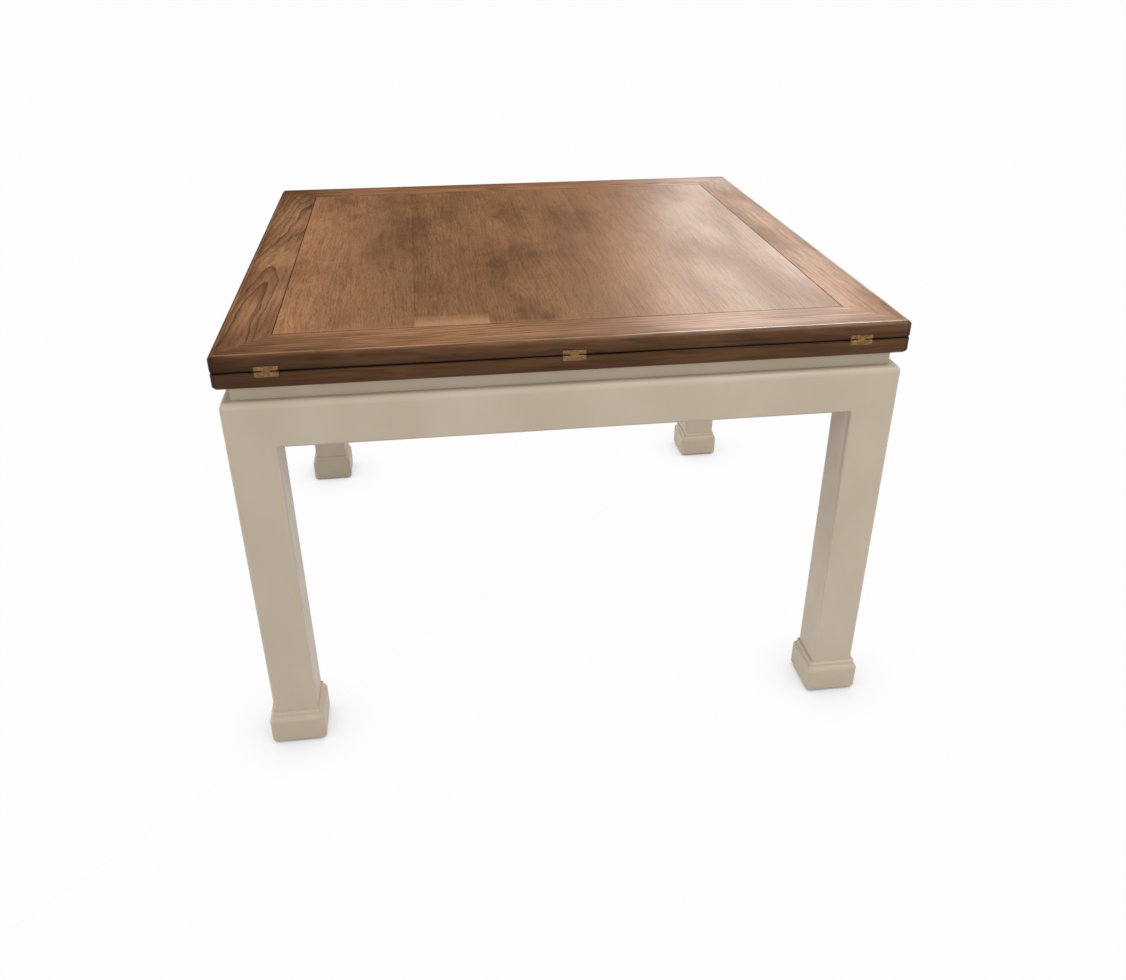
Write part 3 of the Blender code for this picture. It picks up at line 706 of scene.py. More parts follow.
TOP_HALF = 0.5335
LEAF_CORNER = 0.008
OUTER_ROUND = 0.0062
UPPER_ARRIS = 0.0030
LOWER_ARRIS = 0.0035
SLOPE_ANGLE = radians(42)
SLOPE_RUN = OUTER_ROUND - UPPER_ARRIS * sin(SLOPE_ANGLE) - LOWER_ARRIS * (1 - sin(SLOPE_ANGLE))
SLOPE_DEPTH = (
    UPPER_ARRIS * (1 - cos(SLOPE_ANGLE)) + SLOPE_RUN * tan(SLOPE_ANGLE) + LOWER_ARRIS * cos(SLOPE_ANGLE)
)
SLOPE_TOP = OUTER_ROUND - UPPER_ARRIS * sin(SLOPE_ANGLE)
MEETING_ROUND = 0.003
BORDER_WIDTH = 0.083
ARRIS = 0.0007
MITRE_GAP = 0.00018
CORNER_STEPS = 6
LOWER_FACE = 0.7034
UPPER_FACE = 0.7040
TABLE_TOP = 0.7300
HINGE_PLACE = 0.4525
HINGE_WIDTH = 0.0355
HINGE_DEPTH = 0.0062
PLATE_HEIGHT = 0.0080
MORTISE_GAP = 0.00045
CUT_MARGIN = 0.004
RINGS_PER_METRE = 125.0
RING_TONES = ((0.0, 0.20), (0.10, 0.0), (0.45, 0.14), (0.76, 0.42), (0.92, 1.0), (1.0, 0.70))
GRAIN_BENDS = (
    ((3, 8, 8), (0, 0.018, 0.030)),
    ((9, 26, 26), (0, 0.010, 0.012)),
    ((30, 90, 90), (0, 0.002, 0.002)),
)
TONE_POWERS = {"X": 1.0, "Y": 1.06, "Z": 1.16}
GROOVE_PAINTED_SHADE = 0.05
PAINTED_HIGHLIGHT_TONE = 1.55
PAINTED_HIGHLIGHT_SHARES = {"front": 1.0, "right": 0.1, "back": 0.2, "left": 0.1}
HIGHLIGHT_INSET = 0.0076
RIM_TONES = ((HIGHLIGHT_INSET, 1.0), (0.0092, 0.55), (0.0130, 0.78), (0.0240, 0.93), (0.0400, 1.0))
ARRIS_GLOSS = 0.70
ROUND_GLOSS = 0.26
FLAT_GLOSS = 0.12
EDGE_FIGURE = 0.35
BOARD_STEPS = 10
END_SHARE = 0.4
CORNER_PAINTED_SHADE = 0.60
RAIL_PALE = (0.350, 0.176, 0.084)
RAIL_BROWN = (0.235, 0.110, 0.050)
RAIL_DARK = (0.060, 0.024, 0.009)


def rail_finish():
    """Stained board: growth rings cut at a flat angle, each with its own dark line, and fine fibres."""
    material, tree, shader = new_finish("rail_walnut", Metallic=0.0)
    grain = add(tree, "ShaderNodeAttribute", attribute_name="grain").outputs["Vector"]
    tone, gloss, figure = (
        add(tree, "ShaderNodeAttribute", attribute_name=name).outputs["Fac"]
        for name in ("tone", "gloss", "figure")
    )

    bent = grain
    for stretch, swing in GRAIN_BENDS:
        wander = noise(grain, stretch, 1, 0.5, "Color")
        centred = vector("SUBTRACT", wander, (0.5, 0.5, 0.5))
        bent = vector("MULTIPLY_ADD", centred, swing, bent)
    radius = vector("LENGTH", vector("MULTIPLY", bent, (0, 1, 1)), output="Value")
    count = calculate("MULTIPLY", radius, RINGS_PER_METRE)
    late = ramp(calculate("FRACT", count), RING_TONES)
    year = add(tree, "ShaderNodeTexWhiteNoise", {"W": calculate("FLOOR", count)}, noise_dimensions="1D")
    strength = fit(year.outputs["Value"], 0.0, 1.0, 0.15, 0.82)
    strength = calculate("MULTIPLY", strength, figure)

    blotches = noise(grain, (5, 14, 14), 3, 0.5)
    colour = mixed(fit(blotches, 0.36, 0.66, 0, 1), RAIL_PALE, RAIL_BROWN)
    colour = mixed(calculate("MULTIPLY", late, strength), colour, RAIL_DARK)
    streaks = noise(bent, (7, 170, 170), 3, 0.6)
    colour = mixed(fit(streaks, 0.44, 0.74, 0, 0.56), colour, RAIL_DARK)
    fibres = noise(grain, (24, 900, 900), 2)
    colour = mixed(fit(fibres, 0.45, 0.78, 0, 0.45), colour, RAIL_DARK)
    tones = {axis: calculate("POWER", tone, power) for axis, power in TONE_POWERS.items()}
    colour = vector("MULTIPLY", colour, add(tree, "ShaderNodeCombineXYZ", tones).outputs[0])
    satin = fit(blotches, 0.3, 0.7, 0.33, 0.41)
    polish = fit(gloss, FLAT_GLOSS, ARRIS_GLOSS, 1.0, 0.65)
    roughness = calculate("MULTIPLY", satin, polish)
    drive(shader, Base_Color=colour, Roughness=roughness, Specular_IOR_Level=gloss)
    raise_surface(shader, fibres, 0.00003)
    return material


def rail_section(face, outer):
    """A rail's section as (inset, height): a sloped arris outside, a small round at the meeting face."""
    deep = 1 if outer > face else -1
    meeting = arc((MEETING_ROUND, MEETING_ROUND), MEETING_ROUND, 270, 180, 6)
    arris = arc((LOWER_ARRIS, -SLOPE_DEPTH), LOWER_ARRIS, 180, 180 - degrees(pi / 2 - SLOPE_ANGLE), 5)
    arris += arc((OUTER_ROUND, -UPPER_ARRIS), UPPER_ARRIS, 90 + degrees(SLOPE_ANGLE), 90, 7)
    section = [(BORDER_WIDTH - ARRIS, face)]
    section += [(inset, face + deep * height) for inset, height in meeting]
    section += [(inset, outer + deep * height) for inset, height in arris]
    section += [(inset, outer) for inset, tone in RIM_TONES]
    section += [(BORDER_WIDTH - ARRIS, outer), (BORDER_WIDTH, outer - deep * ARRIS)]
    section.append((BORDER_WIDTH, face + deep * ARRIS))
    return section


def rail_rings(section):
    """The section at steps along a rail at -Y, from one mitre round the corners to the other."""
    rings = []
    for end in (-1, 1):
        for step in range(CORNER_STEPS + 1):
            share = step / CORNER_STEPS if end < 0 else 1 - step / CORNER_STEPS
            angle = radians(225 + 45 * share)
            ring = []
            for inset, height in section:
                round_left = max(LEAF_CORNER - inset, 0.0)
                start = max(LEAF_CORNER, inset) - TOP_HALF
                x = start + round_left * cos(angle) + MITRE_GAP
                ring.append((-end * x, start + round_left * sin(angle), height))
            rings.append(ring)
    first, last = rings[CORNER_STEPS], rings[CORNER_STEPS + 1]
    between = []
    for step in range(1, BOARD_STEPS):
        share = step / BOARD_STEPS
        ring = []
        for start, end in zip(first, last):
            ring.append(tuple(a + (b - a) * share for a, b in zip(start, end)))
        between.append(ring)
    return rings[:CORNER_STEPS + 1] + between + rings[CORNER_STEPS + 1:]


def clean(piece):
    """Join points that fell together and drop faces with no area."""
    bm = bmesh.new()
    bm.from_mesh(piece.data)
    bmesh.ops.remove_doubles(bm, verts=bm.verts, dist=MERGE)
    bmesh.ops.dissolve_degenerate(bm, edges=bm.edges, dist=MERGE)
    bm.to_mesh(piece.data)
    bm.free()


def carve(piece, cutter_bm, operation="DIFFERENCE"):
    """Cut a piece with a bmesh, or keep only what the two share."""
    cutter = add_piece("cutter", cutter_bm)
    boolean = piece.modifiers.new("cut", "BOOLEAN")
    boolean.operation = operation
    boolean.object = cutter
    boolean.solver = "EXACT"
    settle(piece)
    bpy.data.objects.remove(cutter)
    clean(piece)


def mortises(face, deep):
    """Pockets for the three hinges, open at the front and at the meeting face."""
    bm = bmesh.new()
    size = Vector((
        HINGE_WIDTH + 2 * MORTISE_GAP,
        HINGE_DEPTH + MORTISE_GAP + CUT_MARGIN,
        PLATE_HEIGHT + MORTISE_GAP + CUT_MARGIN,
    ))
    middle_y = -TOP_HALF - CUT_MARGIN + size.y / 2
    middle_z = face + deep * (size.z / 2 - CUT_MARGIN)
    for x in (-HINGE_PLACE, 0, HINGE_PLACE):
        matrix = Matrix.Translation((x, middle_y, middle_z)) @ Matrix.Diagonal((*size, 1.0))
        bmesh.ops.create_cube(bm, size=1.0, matrix=matrix)
    return bm


def along_board(values, x):
    """A value at a place along a board, from those at its two ends and at its middle."""
    end = values[0] if x < 0 else values[2]
    return values[1] + (end - values[1]) * share_of((abs(x) / TOP_HALF - 1 + END_SHARE) / END_SHARE)


def rail_look(side, board, face, outer, edge_painted_shade, x, inset, z):
    """The tone and gloss of a rail at a point, with painted shade on its edges, corners and grooves and a
    painted highlight at its arris.
    """
    to_face = abs(z - face)
    # The edge faces and the slope are darkened with painted shade, and the round corners more so.
    edge_height = abs(outer - face) - MEETING_ROUND - SLOPE_DEPTH
    up_edge = share_of((to_face - MEETING_ROUND) / edge_height)
    edge = edge_painted_shade[0] + (edge_painted_shade[1] - edge_painted_shade[0]) * up_edge
    past_slope = share_of((inset - SLOPE_TOP) / (OUTER_ROUND - SLOPE_TOP))
    tone = along_board(board["tones"], x) * (edge + (1 - edge) * past_slope)
    gloss = along_board(board["gloss"], x)
    # Painted shade in the groove between the leaves and at the inner arris beside the panel.
    if inset < MEETING_ROUND and to_face < MEETING_ROUND:
        tone *= 1 - (1 - GROOVE_PAINTED_SHADE) * (1 - to_face / MEETING_ROUND)
    if abs(x) > TOP_HALF - LEAF_CORNER and inset < LEAF_CORNER:
        tone *= CORNER_PAINTED_SHADE
    if inset > BORDER_WIDTH - ARRIS / 2:
        tone *= GROOVE_PAINTED_SHADE
    for rim, rim_tone in RIM_TONES:
        if near((z, outer), (inset, rim)):
            tone *= rim_tone
            gloss *= (1 + rim_tone) / 2
    # Along the arris the colour is lightened into a painted highlight, strongest on the front, and the gloss
    # is raised.
    in_round = abs(z - outer) < UPPER_ARRIS * (1 - cos(SLOPE_ANGLE)) + MERGE
    if in_round and inset < HIGHLIGHT_INSET + MERGE:
        shine = ARRIS_GLOSS if near((z, outer)) else ROUND_GLOSS
        gloss += (shine - gloss) * PAINTED_HIGHLIGHT_SHARES[side]
        tone *= 1 + (PAINTED_HIGHLIGHT_TONE - 1) * PAINTED_HIGHLIGHT_SHARES[side]
    return tone, gloss


def add_rails(leaf, body, face, outer, edge_painted_shade, boards):
    """The four rails of a leaf, each from its own board with its own heart, figure, gloss and tones."""
    deep = 1 if outer > face else -1
    for number, side in enumerate(SIDES):
        board = boards[side]
        along, across, skew, depth, slope = board["heart"]
        rail_bm = skin(rail_rings(rail_section(face, outer)))
        rail = add_piece(leaf + "_border_" + side, rail_bm, rail_walnut, sharp_from=50)
        if side == "front":
            carve(rail, mortises(face, deep))
        even_shading(rail)
        mesh = rail.data
        kinds = {"grain": "FLOAT_VECTOR", "tone": "FLOAT", "gloss": "FLOAT", "figure": "FLOAT"}
        for name, kind in kinds.items():
            mesh.attributes.new(name, kind, "POINT")
        grain, tones, glosses, figures = (mesh.attributes[name].data for name in kinds)
        for vert in mesh.vertices:
            x, y, z = vert.co
            inset = y + TOP_HALF
            grain[vert.index].vector = (
                x + along, inset - across - skew * x, z - outer + depth + slope * x,
            )
            tone, gloss = rail_look(side, board, face, outer, edge_painted_shade, x, inset, z)
            tones[vert.index].value = tone
            glosses[vert.index].value = gloss
            figures[vert.index].value = board["figure"] * (EDGE_FIGURE if inset < LOWER_ARRIS else 1.0)
        mesh.transform(Matrix.Rotation(number * pi / 2, 4, "Z"))
        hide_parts(leaf + "_rail_" + side)
        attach(rail, body)


rail_walnut = rail_finish()
# Painted shade on the edge faces: the two values are next to the meeting face and next to the outer arris.
LOWER_EDGE_PAINTED_SHADE = (0.32, 0.29)
EVEN_GLOSS = (FLAT_GLOSS, FLAT_GLOSS, FLAT_GLOSS)
LOWER_BOARDS = {
    "front": {
        "heart": (12.3, 0.030, 0.0, 0.060, 0.012),
        "figure": 0.7, "gloss": EVEN_GLOSS, "tones": (0.95, 1.00, 1.05),
    },
    "right": {
        "heart": (14.1, 0.050, 0.03, 0.040, 0.030),
        "figure": 0.7, "gloss": EVEN_GLOSS, "tones": (1.00, 1.00, 0.90),
    },
    "back": {
        "heart": (17.7, 0.020, 0.0, 0.050, -0.025),
        "figure": 0.7, "gloss": EVEN_GLOSS, "tones": (0.90, 1.00, 0.85),
    },
    "left": {
        "heart": (21.9, 0.060, 0.02, 0.035, 0.034),
        "figure": 1.0, "gloss": EVEN_GLOSS, "tones": (0.80, 1.00, 0.90),
    },
}
add_rails("lower", "lower_leaf", LOWER_FACE, UNDERSIDE, LOWER_EDGE_PAINTED_SHADE, LOWER_BOARDS)


# Panels of both leaves: walnut-stained veneer in sheets that run from front to back, on a stable
# core, with a hairline groove where each panel meets its border. Satin lacquer over all of it.

VENEER_PALE = (0.325, 0.163, 0.076)
VENEER_BROWN = (0.232, 0.109, 0.049)
VENEER_DARK = (0.060, 0.024, 0.009)
VENEER_WORN = (0.480, 0.270, 0.140)
GROOVE_PAINTED_SHADOW = (0.035, 0.014, 0.006)
PANEL_HALF = 0.4505
GROOVE_WIDTH = 0.0015
SHEET_WIDTH = 0.1167
FIRST_SEAM = -0.4694
SHEET_COUNT = 8
CROSS_SEAMS = (0.70, 0.70, 0.28, 0.70, 0.70, 0.046, -0.265, 0.70)
SEAM_WIDTH = 0.0006
SHEET_TONES = (1.40, 0.86, 0.88, 0.95, 0.84, 1.20, 1.02, 1.00)
STAINS = (
    (-0.225, -0.036, 0.09, 0.085), (-0.323, 0.147, 0.06, 0.085), (-0.247, 0.371, 0.07, 0.085),
    (-0.063, -0.089, 0.07, 0.07), (0.089, 0.142, 0.11, 0.085), (0.233, 0.399, 0.08, 0.085),
    (0.380, -0.248, 0.04, 0.085), (0.355, -0.391, 0.05, 0.085), (-0.030, -0.435, 0.020, 0.05),
    (0.005, -0.375, 0.085, -0.20), (-0.390, -0.250, 0.07, -0.08),
)
STAIN_STRETCH = 0.45
PATCH = (-0.236, -0.119, -0.402)
WORN_EDGE = 0.016
VENEER_RINGS = 210.0
FACE_SPREAD = 37


def panel_finish():
    """Veneer in sheets side by side: fine straight fibres, a faint figure, seams and stain blotches."""
    material, tree, shader = new_finish("panel_walnut", Metallic=0.0, Specular_IOR_Level=FLAT_GLOSS)
    place = add(tree, "ShaderNodeTexCoord").outputs["Object"]
    spread = vector("MULTIPLY", place, (1, 1, FACE_SPREAD))
    parts = add(tree, "ShaderNodeSeparateXYZ", {"Vector": place}).outputs
    x, y = parts["X"], parts["Y"]
    outside = calculate("GREATER_THAN", parts["Z"], TABLE_TOP - 0.001)

    from_seam = calculate("SUBTRACT", x, FIRST_SEAM)
    sheets = calculate("DIVIDE", from_seam, SHEET_WIDTH)
    across = calculate("DIVIDE", sheets, SHEET_COUNT)
    joints = [(number / SHEET_COUNT, 0.5 + seam / 2) for number, seam in enumerate(CROSS_SEAMS)]
    joint = calculate("MULTIPLY_ADD", ramp(across, joints, "CONSTANT"), 2.0, -1.0)
    middles = [0.0] + [(number + 0.5) / SHEET_COUNT for number in range(1, SHEET_COUNT)]
    shades = [(middle, tone / 2) for middle, tone in zip(middles, SHEET_TONES)]
    shade = calculate("MULTIPLY", ramp(across, shades), 2.0)
    beyond = calculate("SUBTRACT", y, joint)
    behind = calculate("GREATER_THAN", beyond, 0.0)
    number = calculate("MULTIPLY_ADD", behind, 0.5, calculate("FLOOR", sheets))
    own = add(tree, "ShaderNodeTexWhiteNoise", {"W": number}, noise_dimensions="1D").outputs["Value"]

    sway = noise(spread, (9, 3, 1), 2)
    shift = calculate("MULTIPLY_ADD", own, 3.0, x)
    bent_x = calculate("MULTIPLY_ADD", sway, 0.026, shift)
    bent = add(tree, "ShaderNodeCombineXYZ", {"X": bent_x, "Y": y, "Z": parts["Z"]}).outputs[0]

    blotches = noise(spread, (9.0, 3.0, 1), 3, 0.5)
    mottle = calculate("SUBTRACT", noise(spread, (30, 17, 1), 3, 0.55), 0.5)
    stain = calculate("MULTIPLY_ADD", calculate("SUBTRACT", own, 0.5), 0.14, blotches)
    stain = calculate("MULTIPLY_ADD", mottle, 0.38, stain)
    for stain_x, stain_y, size, strength in STAINS:
        from_stain = vector("SUBTRACT", place, (stain_x, stain_y, 0))
        stretched = vector("MULTIPLY", from_stain, (1, STAIN_STRETCH, 0))
        away = vector("LENGTH", stretched, output="Value")
        dark = fit(away, 0.0, size, strength, 0.0)
        stain = calculate("MULTIPLY_ADD", dark, outside, stain)
    calm = fit(x, 0.0, 0.25, 1.0, 0.45)
    stain = calculate("MULTIPLY_ADD", calculate("SUBTRACT", stain, 0.48), calm, 0.48)
    colour = mixed(fit(stain, 0.36, 0.68, 0, 1), VENEER_PALE, VENEER_BROWN)
    colour = mixed(fit(stain, 0.58, 0.86, 0, 0.60), colour, VENEER_DARK)

    heart = calculate("MULTIPLY_ADD", noise(bent, (5, 2.4, 2), 2), 0.060, 0.004)
    in_sheet = calculate("SUBTRACT", calculate("FRACT", sheets), 0.5)
    off_heart = calculate("MULTIPLY", in_sheet, SHEET_WIDTH)
    section = add(tree, "ShaderNodeCombineXYZ", {"X": off_heart, "Y": heart}).outputs[0]
    radius = vector("LENGTH", section, output="Value")
    rings = calculate("MULTIPLY", radius, VENEER_RINGS)
    late = calculate("FRACT", calculate("MULTIPLY_ADD", sway, 1.6, rings))
    strength = fit(own, 0.2, 0.9, 0.05, 0.20)
    figure = calculate("MULTIPLY", fit(late, 0.45, 0.95, 0, 1), strength)
    colour = mixed(figure, colour, VENEER_DARK)
    streaks = noise(bent, (240, 9, 9), 3, 0.6)
    colour = mixed(fit(streaks, 0.44, 0.76, 0, 0.36), colour, VENEER_DARK)
    flecks = noise(bent, (640, 64, 40), 2)
    flecked = calculate("MULTIPLY", fit(flecks, 0.46, 0.74, 0, 0.46), calm)
    colour = mixed(flecked, colour, VENEER_DARK)
    fibres = noise(bent, (900, 24, 40), 2)
    colour = mixed(fit(fibres, 0.44, 0.78, 0, 0.35), colour, VENEER_DARK)

    colour = add(tree, "ShaderNodeVectorMath", {0: colour, "Scale": shade}, operation="SCALE").outputs[0]
    low_x, high_x, high_y = PATCH
    patch = calculate("MULTIPLY", outside, calculate("LESS_THAN", y, high_y))
    for test, edge in (("GREATER_THAN", low_x), ("LESS_THAN", high_x)):
        patch = calculate("MULTIPLY", patch, calculate(test, x, edge))
    patch = calculate("MULTIPLY", patch, fit(y, -PANEL_HALF, high_y, 0.70, 0.18))
    colour = mixed(patch, colour, VENEER_WORN)
    from_side = calculate("PINGPONG", from_seam, SHEET_WIDTH / 2)
    gap = calculate("MINIMUM", from_side, calculate("ABSOLUTE", beyond))
    colour = mixed(fit(gap, 0.0, SEAM_WIDTH, 0.35, 0.0), colour, VENEER_DARK)
    at_front = fit(y, -PANEL_HALF, WORN_EDGE - PANEL_HALF, 0.5, 0.0)
    worn = calculate("MULTIPLY", at_front, fit(x, -0.1, 0.3, 1, 0))
    colour = mixed(worn, colour, VENEER_PALE)
    # A band of painted shadow along the groove where the panel meets its border.
    reach = calculate("MAXIMUM", calculate("ABSOLUTE", x), calculate("ABSOLUTE", y))
    groove_shadow = calculate("GREATER_THAN", reach, PANEL_HALF - GROOVE_WIDTH)
    colour = mixed(calculate("MULTIPLY", groove_shadow, 0.75), colour, GROOVE_PAINTED_SHADOW)
    drive(shader, Base_Color=colour, Roughness=fit(blotches, 0.3, 0.7, 0.33, 0.41))
    raise_surface(shader, fibres, 0.00003)
    return material


panel_walnut = panel_finish()
for node in ("lower_panel", "upper_panel"):
    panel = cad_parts[node]
    panel.data.materials.clear()
    panel.data.materials.append(panel_walnut)


# Swivel: a steel flange let into the underside of the lower leaf and held by three countersunk
# screws, with a stud through the bush, a washer and a nut; a poplar peg stops the quarter turn.

FLANGE_RADIUS = 0.045
FLANGE_THICKNESS = 0.004
STUD_RADIUS = 0.008
STUD_TOP = UNDERSIDE + FLANGE_THICKNESS
SCREW_CIRCLE = 0.030
SCREW_HEAD_RADIUS = 0.004
SCREW_HEAD_HEIGHT = 0.0022
SCREW_RADIUS = 0.0019
SCREW_LENGTH = 0.016
SCREW_POINT = 0.003
SCREW_RIM = 0.0003
SCREW_EASE = 0.0002
SCREW_RECESS = (0.0042, 0.0009, 0.0024)
WASHER_TOP = 0.6508
WASHER_BOTTOM = 0.6478
WASHER_RADIUS = 0.020
NUT_TOP = 0.6475
NUT_BOTTOM = 0.6365
NUT_RADIUS = 0.014
NUT_CORNER = 0.0011
STUD_BOTTOM = 0.6325
THREAD_PITCH = 0.0016
THREAD_DEPTH = 0.0008
THREAD_STEPS = 6
STUD_CHAMFER = 0.0012
STUD_STEPS = 32
LOOSE = 0.0003
STUD_BORE = STUD_RADIUS + LOOSE
ZINC_PALE = (0.60, 0.60, 0.585)
ZINC_GREY = (0.42, 0.425, 0.425)

zinc_steel = spotted_finish(
    "zinc_steel", 1.0, spots=(150, 0.35, 0.68), colours=(ZINC_PALE, ZINC_GREY),
    roughness=(0.30, 0.46), texture=(1500, 1500, 1500), raised=0.00001,
)


def ring_on_stud(radius, top, bottom, top_edge, bottom_edge):
    """The (radius, height) points of a flat ring round the stud, with its outer edges broken."""
    return [
        (radius - top_edge, top),
        (radius, top - top_edge),
        (radius, bottom + bottom_edge),
        (radius - bottom_edge, bottom),
        (STUD_BORE, bottom),
        (STUD_BORE, top),
    ]


flange_profile = ring_on_stud(FLANGE_RADIUS, STUD_TOP, UNDERSIDE, TURNED_EDGE, 2 * TURNED_EDGE)
flange = add_piece("swivel_flange", turned(flange_profile, "joined", place=PIVOT), zinc_steel, sharp_from=30)
screw_places = []
for number in range(3):
    angle = 2 * pi * number / 3 + pi / 2
    screw_places.append((PIVOT[0] + SCREW_CIRCLE * cos(angle), PIVOT[1] + SCREW_CIRCLE * sin(angle)))
head_slope = (SCREW_HEAD_RADIUS - SCREW_RADIUS) / SCREW_HEAD_HEIGHT
mouth = SCREW_HEAD_RADIUS + LOOSE + head_slope * CUT_MARGIN
for spot in screw_places:
    countersink = turned([
        (mouth, UNDERSIDE - CUT_MARGIN),
        (SCREW_RADIUS + LOOSE, UNDERSIDE + SCREW_HEAD_HEIGHT),
        (SCREW_RADIUS + LOOSE, STUD_TOP + CUT_MARGIN),
    ], place=spot)
    carve(flange, countersink)
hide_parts("pivot_flange")

screw_profile = [
    (0, SCREW_LENGTH),
    (SCREW_RADIUS, SCREW_LENGTH - SCREW_POINT),
    (SCREW_RADIUS, SCREW_HEAD_HEIGHT),
    (SCREW_HEAD_RADIUS, SCREW_RIM),
    (SCREW_HEAD_RADIUS - SCREW_EASE, 0),
    (0, 0),
]
screws = add_piece("swivel_screws", turned(screw_profile, steps=24), sharp_from=30)
for turn in (0, pi / 2):
    recess = bmesh.new()
    slot_size = Matrix.Diagonal((*SCREW_RECESS, 1.0))
    bmesh.ops.create_cube(recess, size=1.0, matrix=Matrix.Rotation(turn, 4, "Z") @ slot_size)
    carve(screws, recess)
screw_ring, given = repeating_tree("screw_ring", {
    "Count": "NodeSocketInt", "Radius": "NodeSocketFloat", "Middle": "NodeSocketVector",
})
ring_points = add(screw_ring, "GeometryNodeMeshCircle", {
    "Vertices": given["Count"], "Radius": given["Radius"],
})
ring_placed = add(screw_ring, "GeometryNodeTransform", {
    "Geometry": ring_points.outputs["Mesh"], "Translation": given["Middle"], "Rotation": (0, 0, pi / 2),
})
repeat_on(screw_ring, given, ring_placed.outputs["Geometry"])
repeat(screws, screw_ring, Count=3, Radius=SCREW_CIRCLE, Middle=(*PIVOT, UNDERSIDE), Finish=zinc_steel)
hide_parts("pivot_screw_1", "pivot_screw_2", "pivot_screw_3")


def stud_rings():
    """A plain shank, then a cut thread as far as the chamfered end."""
    rings = []
    heights = [STUD_TOP, NUT_TOP]
    count = int((NUT_TOP - STUD_BOTTOM) / THREAD_PITCH * THREAD_STEPS)
    heights += [NUT_TOP + (STUD_BOTTOM - NUT_TOP) * (number + 1) / count for number in range(count)]
    for height in heights:
        ring = []
        for step in range(STUD_STEPS):
            angle = 2 * pi * step / STUD_STEPS
            turns = ((NUT_TOP - height) / THREAD_PITCH + step / STUD_STEPS) % 1.0
            cut_depth = THREAD_DEPTH * (1 - abs(2 * turns - 1)) if height < NUT_TOP else 0.0
            chamfered = STUD_RADIUS - STUD_CHAMFER + (height - STUD_BOTTOM)
            radius = min(STUD_RADIUS - cut_depth, chamfered)
            ring.append((PIVOT[0] + radius * cos(angle), PIVOT[1] + radius * sin(angle), height))
        rings.append(ring)
    return rings


stud = add_piece("swivel_stud", skin(stud_rings()), zinc_steel, sharp_from=60)
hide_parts("pivot_stud")

washer_profile = ring_on_stud(WASHER_RADIUS, WASHER_TOP, WASHER_BOTTOM, TURNED_EDGE, TURNED_EDGE)
washer = add_piece("swivel_washer", turned(washer_profile, "joined", place=PIVOT), zinc_steel, sharp_from=30)
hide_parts("pivot_washer")

hexagon = turned([(NUT_RADIUS, NUT_TOP), (NUT_RADIUS, NUT_BOTTOM)], steps=6, place=PIVOT)
nut = add_piece("swivel_nut", hexagon, zinc_steel)
barrel = [
    (0, NUT_TOP + LOOSE),
    (NUT_RADIUS - 2 * NUT_CORNER, NUT_TOP + LOOSE),
    (NUT_RADIUS + NUT_CORNER / 2, NUT_TOP - NUT_CORNER),
    (NUT_RADIUS + NUT_CORNER / 2, NUT_BOTTOM + NUT_CORNER),
    (NUT_RADIUS - 2 * NUT_CORNER, NUT_BOTTOM - LOOSE),
    (0, NUT_BOTTOM - LOOSE),
]
carve(nut, turned(barrel, place=PIVOT), "INTERSECT")
carve(nut, turned([(STUD_BORE, NUT_TOP + CUT_MARGIN), (STUD_BORE, NUT_BOTTOM - CUT_MARGIN)], place=PIVOT))
nut.data.set_sharp_from_angle(angle=radians(25))
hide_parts("pivot_nut")

for piece in (flange, screws, stud, washer, nut):
    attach(piece, "lower_leaf")

PEG_OUT = 0.0633
PEG_RADIUS = 0.008
PEG_TOP = UNDERSIDE + 0.012
PEG_BOTTOM = UNDERSIDE - 0.018
PEG_ROUND = 0.0015
peg_profile = [(0, PEG_TOP), (PEG_RADIUS, PEG_TOP)]
peg_profile += arc((PEG_RADIUS - PEG_ROUND, PEG_BOTTOM + PEG_ROUND), PEG_ROUND, 0, -90, 5)
peg_profile.append((0, PEG_BOTTOM))
peg_place = (PIVOT[0] + PEG_OUT, PIVOT[1] - PEG_OUT)
peg = add_piece("swivel_peg", turned(peg_profile, place=peg_place), raw_poplar, sharp_from=30)
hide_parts("stop_peg")
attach(peg, "lower_leaf")


# Hinges: three brass double-pin hinges let into the front edges of both leaves. Each has a plate
# in either leaf, a pin through each plate, and a link between the pins in a notch at the middle.

HINGE_Y = -0.5305
PIN_OFFSET = 0.003
LOWER_PIN = LOWER_FACE - PIN_OFFSET
UPPER_PIN = UPPER_FACE + PIN_OFFSET
LINK_WIDTH = 0.0126
LINK_THICKNESS = 0.0059
LINK_ROUND = 0.0022
NOTCH_GAP = 0.00004
NOTCH_REACH = 0.00299
NOTCH_SWEEP = 0.0042
NOTCH_PAST = 0.01
PIN_RADIUS = 0.0015
PIN_LENGTH = 0.0345
PIN_STEPS = 16
BRASS_EASING = 0.00012

hinge_row, given = repeating_tree("hinge_row", {
    "Count": "NodeSocketInt", "First": "NodeSocketVector", "Step": "NodeSocketVector",
})
row_points = add(hinge_row, "GeometryNodeMeshLine", {
    "Count": given["Count"], "Start Location": given["First"], "Offset": given["Step"],
})
repeat_on(hinge_row, given, row_points.outputs["Mesh"])


def along_x(section, length):
    """A bmesh of a (y, z) section that runs along X about the middle."""
    return skin([[(end * length / 2, y, z) for y, z in section] for end in (-1, 1)])


def ease(piece, width):
    """Ease all sharp edges of a small piece."""
    bevel = piece.modifiers.new("easing", "BEVEL")
    bevel.width = width
    bevel.segments = 2
    bevel.limit_method = "ANGLE"
    bevel.angle_limit = radians(40)
    settle(piece)
    clean(piece)
    even_shading(piece)


def three_hinges(piece, pin_height, body, *nodes):
    """Set a piece that was made about its pin at all three hinges."""
    first = (-HINGE_PLACE, HINGE_Y, pin_height)
    repeat(piece, hinge_row, Count=3, First=first, Step=(HINGE_PLACE, 0, 0), Finish=aged_brass)
    places = ("left", "middle", "right")
    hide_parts(*(node + "_" + spot for node in nodes for spot in places))
    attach(piece, body)


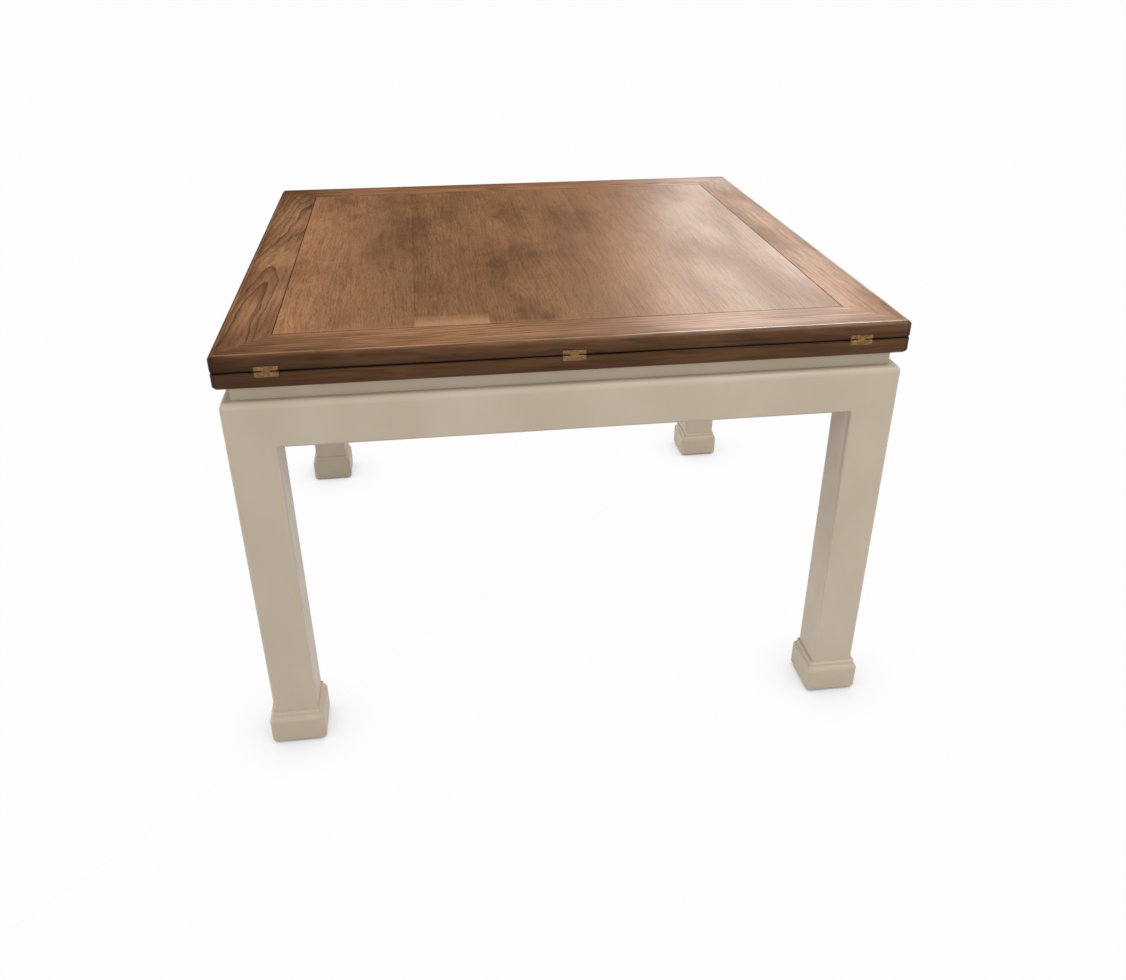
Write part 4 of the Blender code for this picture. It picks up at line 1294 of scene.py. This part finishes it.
def hinge_plate(name, up):
    """A plate about its pin, round where it meets the other plate, with the link's notch."""
    back = HINGE_DEPTH - PIN_OFFSET
    far = up * (PLATE_HEIGHT - PIN_OFFSET)
    section = [(-PIN_OFFSET, far)]
    section += [(y, -up * z) for y, z in arc((0, 0), PIN_OFFSET, 180, 90, 8)]
    section += [(back, -up * PIN_OFFSET), (back, far)]
    plate = add_piece(name, along_x(section, HINGE_WIDTH), sharp_from=30)
    lip = degrees(asin(NOTCH_REACH / NOTCH_SWEEP))
    notch = [(-NOTCH_PAST, up * NOTCH_REACH)]
    notch += [(y, up * z) for y, z in arc((0, 0), NOTCH_SWEEP, 180 - lip, lip, 12)]
    notch += [(NOTCH_PAST, up * NOTCH_REACH), (NOTCH_PAST, -up * NOTCH_PAST), (-NOTCH_PAST, -up * NOTCH_PAST)]
    carve(plate, along_x(notch, LINK_WIDTH + 2 * NOTCH_GAP))
    ease(plate, BRASS_EASING)
    return plate


def hinge_pin(name):
    """A pin along X about its middle."""
    circle = arc((0, 0), PIN_RADIUS, 0, 360 - 360 / PIN_STEPS, PIN_STEPS - 1)
    pin = add_piece(name, along_x(circle, PIN_LENGTH), sharp_from=30)
    ease(pin, BRASS_EASING)
    return pin


three_hinges(hinge_plate("hinge_plates_lower", -1), LOWER_PIN, "lower_leaf", "hinge_lower_plate")
three_hinges(hinge_pin("hinge_pins_lower"), LOWER_PIN, "lower_leaf", "hinge_lower_pin")

half_thick = LINK_THICKNESS / 2
link_top = UPPER_PIN - LOWER_PIN + half_thick
link_section = arc((half_thick - LINK_ROUND, link_top - LINK_ROUND), LINK_ROUND, 0, 90, 8)
link_section += [(-half_thick, link_top), (-half_thick, -half_thick)]
link_section += arc((half_thick - LINK_ROUND, LINK_ROUND - half_thick), LINK_ROUND, 270, 360, 8)
links = add_piece("hinge_link_bars", along_x(link_section, LINK_WIDTH), sharp_from=30)
ease(links, BRASS_EASING)
three_hinges(links, LOWER_PIN, "hinge_links", "hinge_link")

three_hinges(hinge_plate("hinge_plates_upper", 1), UPPER_PIN, "upper_leaf", "hinge_upper_plate")
three_hinges(hinge_pin("hinge_pins_upper"), UPPER_PIN, "upper_leaf", "hinge_upper_pin")


# Upper leaf: the border of the leaf that shows when the table is closed, made like the lower one.
# Its left board has the strongest figure, and its front arris is glossier and lightened with a painted
# highlight.

# Painted shade on the edge faces, darkest next to the meeting face.
UPPER_EDGE_PAINTED_SHADE = (0.23, 0.36)
# The board tones are partly the boards' own shades and partly painted sheen: the front rail is lighter
# towards the right and the right rail at its front end, where the window's sheen falls.
UPPER_BOARDS = {
    "front": {
        "heart": (1.30, 0.115, 0.02, 0.035, 0.010),
        "figure": 1.0, "gloss": (0.120, 0.126, 0.130), "tones": (0.62, 1.14, 1.48),
    },
    "right": {
        "heart": (4.20, 0.020, 0.04, 0.045, 0.030),
        "figure": 0.4, "gloss": (0.060, 0.032, 0.080), "tones": (1.60, 1.10, 0.86),
    },
    "back": {
        "heart": (7.10, 0.060, 0.0, 0.045, 0.030),
        "figure": 0.9, "gloss": (0.06, 0.09, 0.12), "tones": (1.10, 1.22, 0.30),
    },
    "left": {
        "heart": (9.60, 0.060, -0.07, 0.036, -0.052),
        "figure": 1.0, "gloss": EVEN_GLOSS, "tones": (0.38, 1.12, 0.64),
    },
}
add_rails("upper", "upper_leaf", UPPER_FACE, TABLE_TOP, UPPER_EDGE_PAINTED_SHADE, UPPER_BOARDS)


low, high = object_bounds()
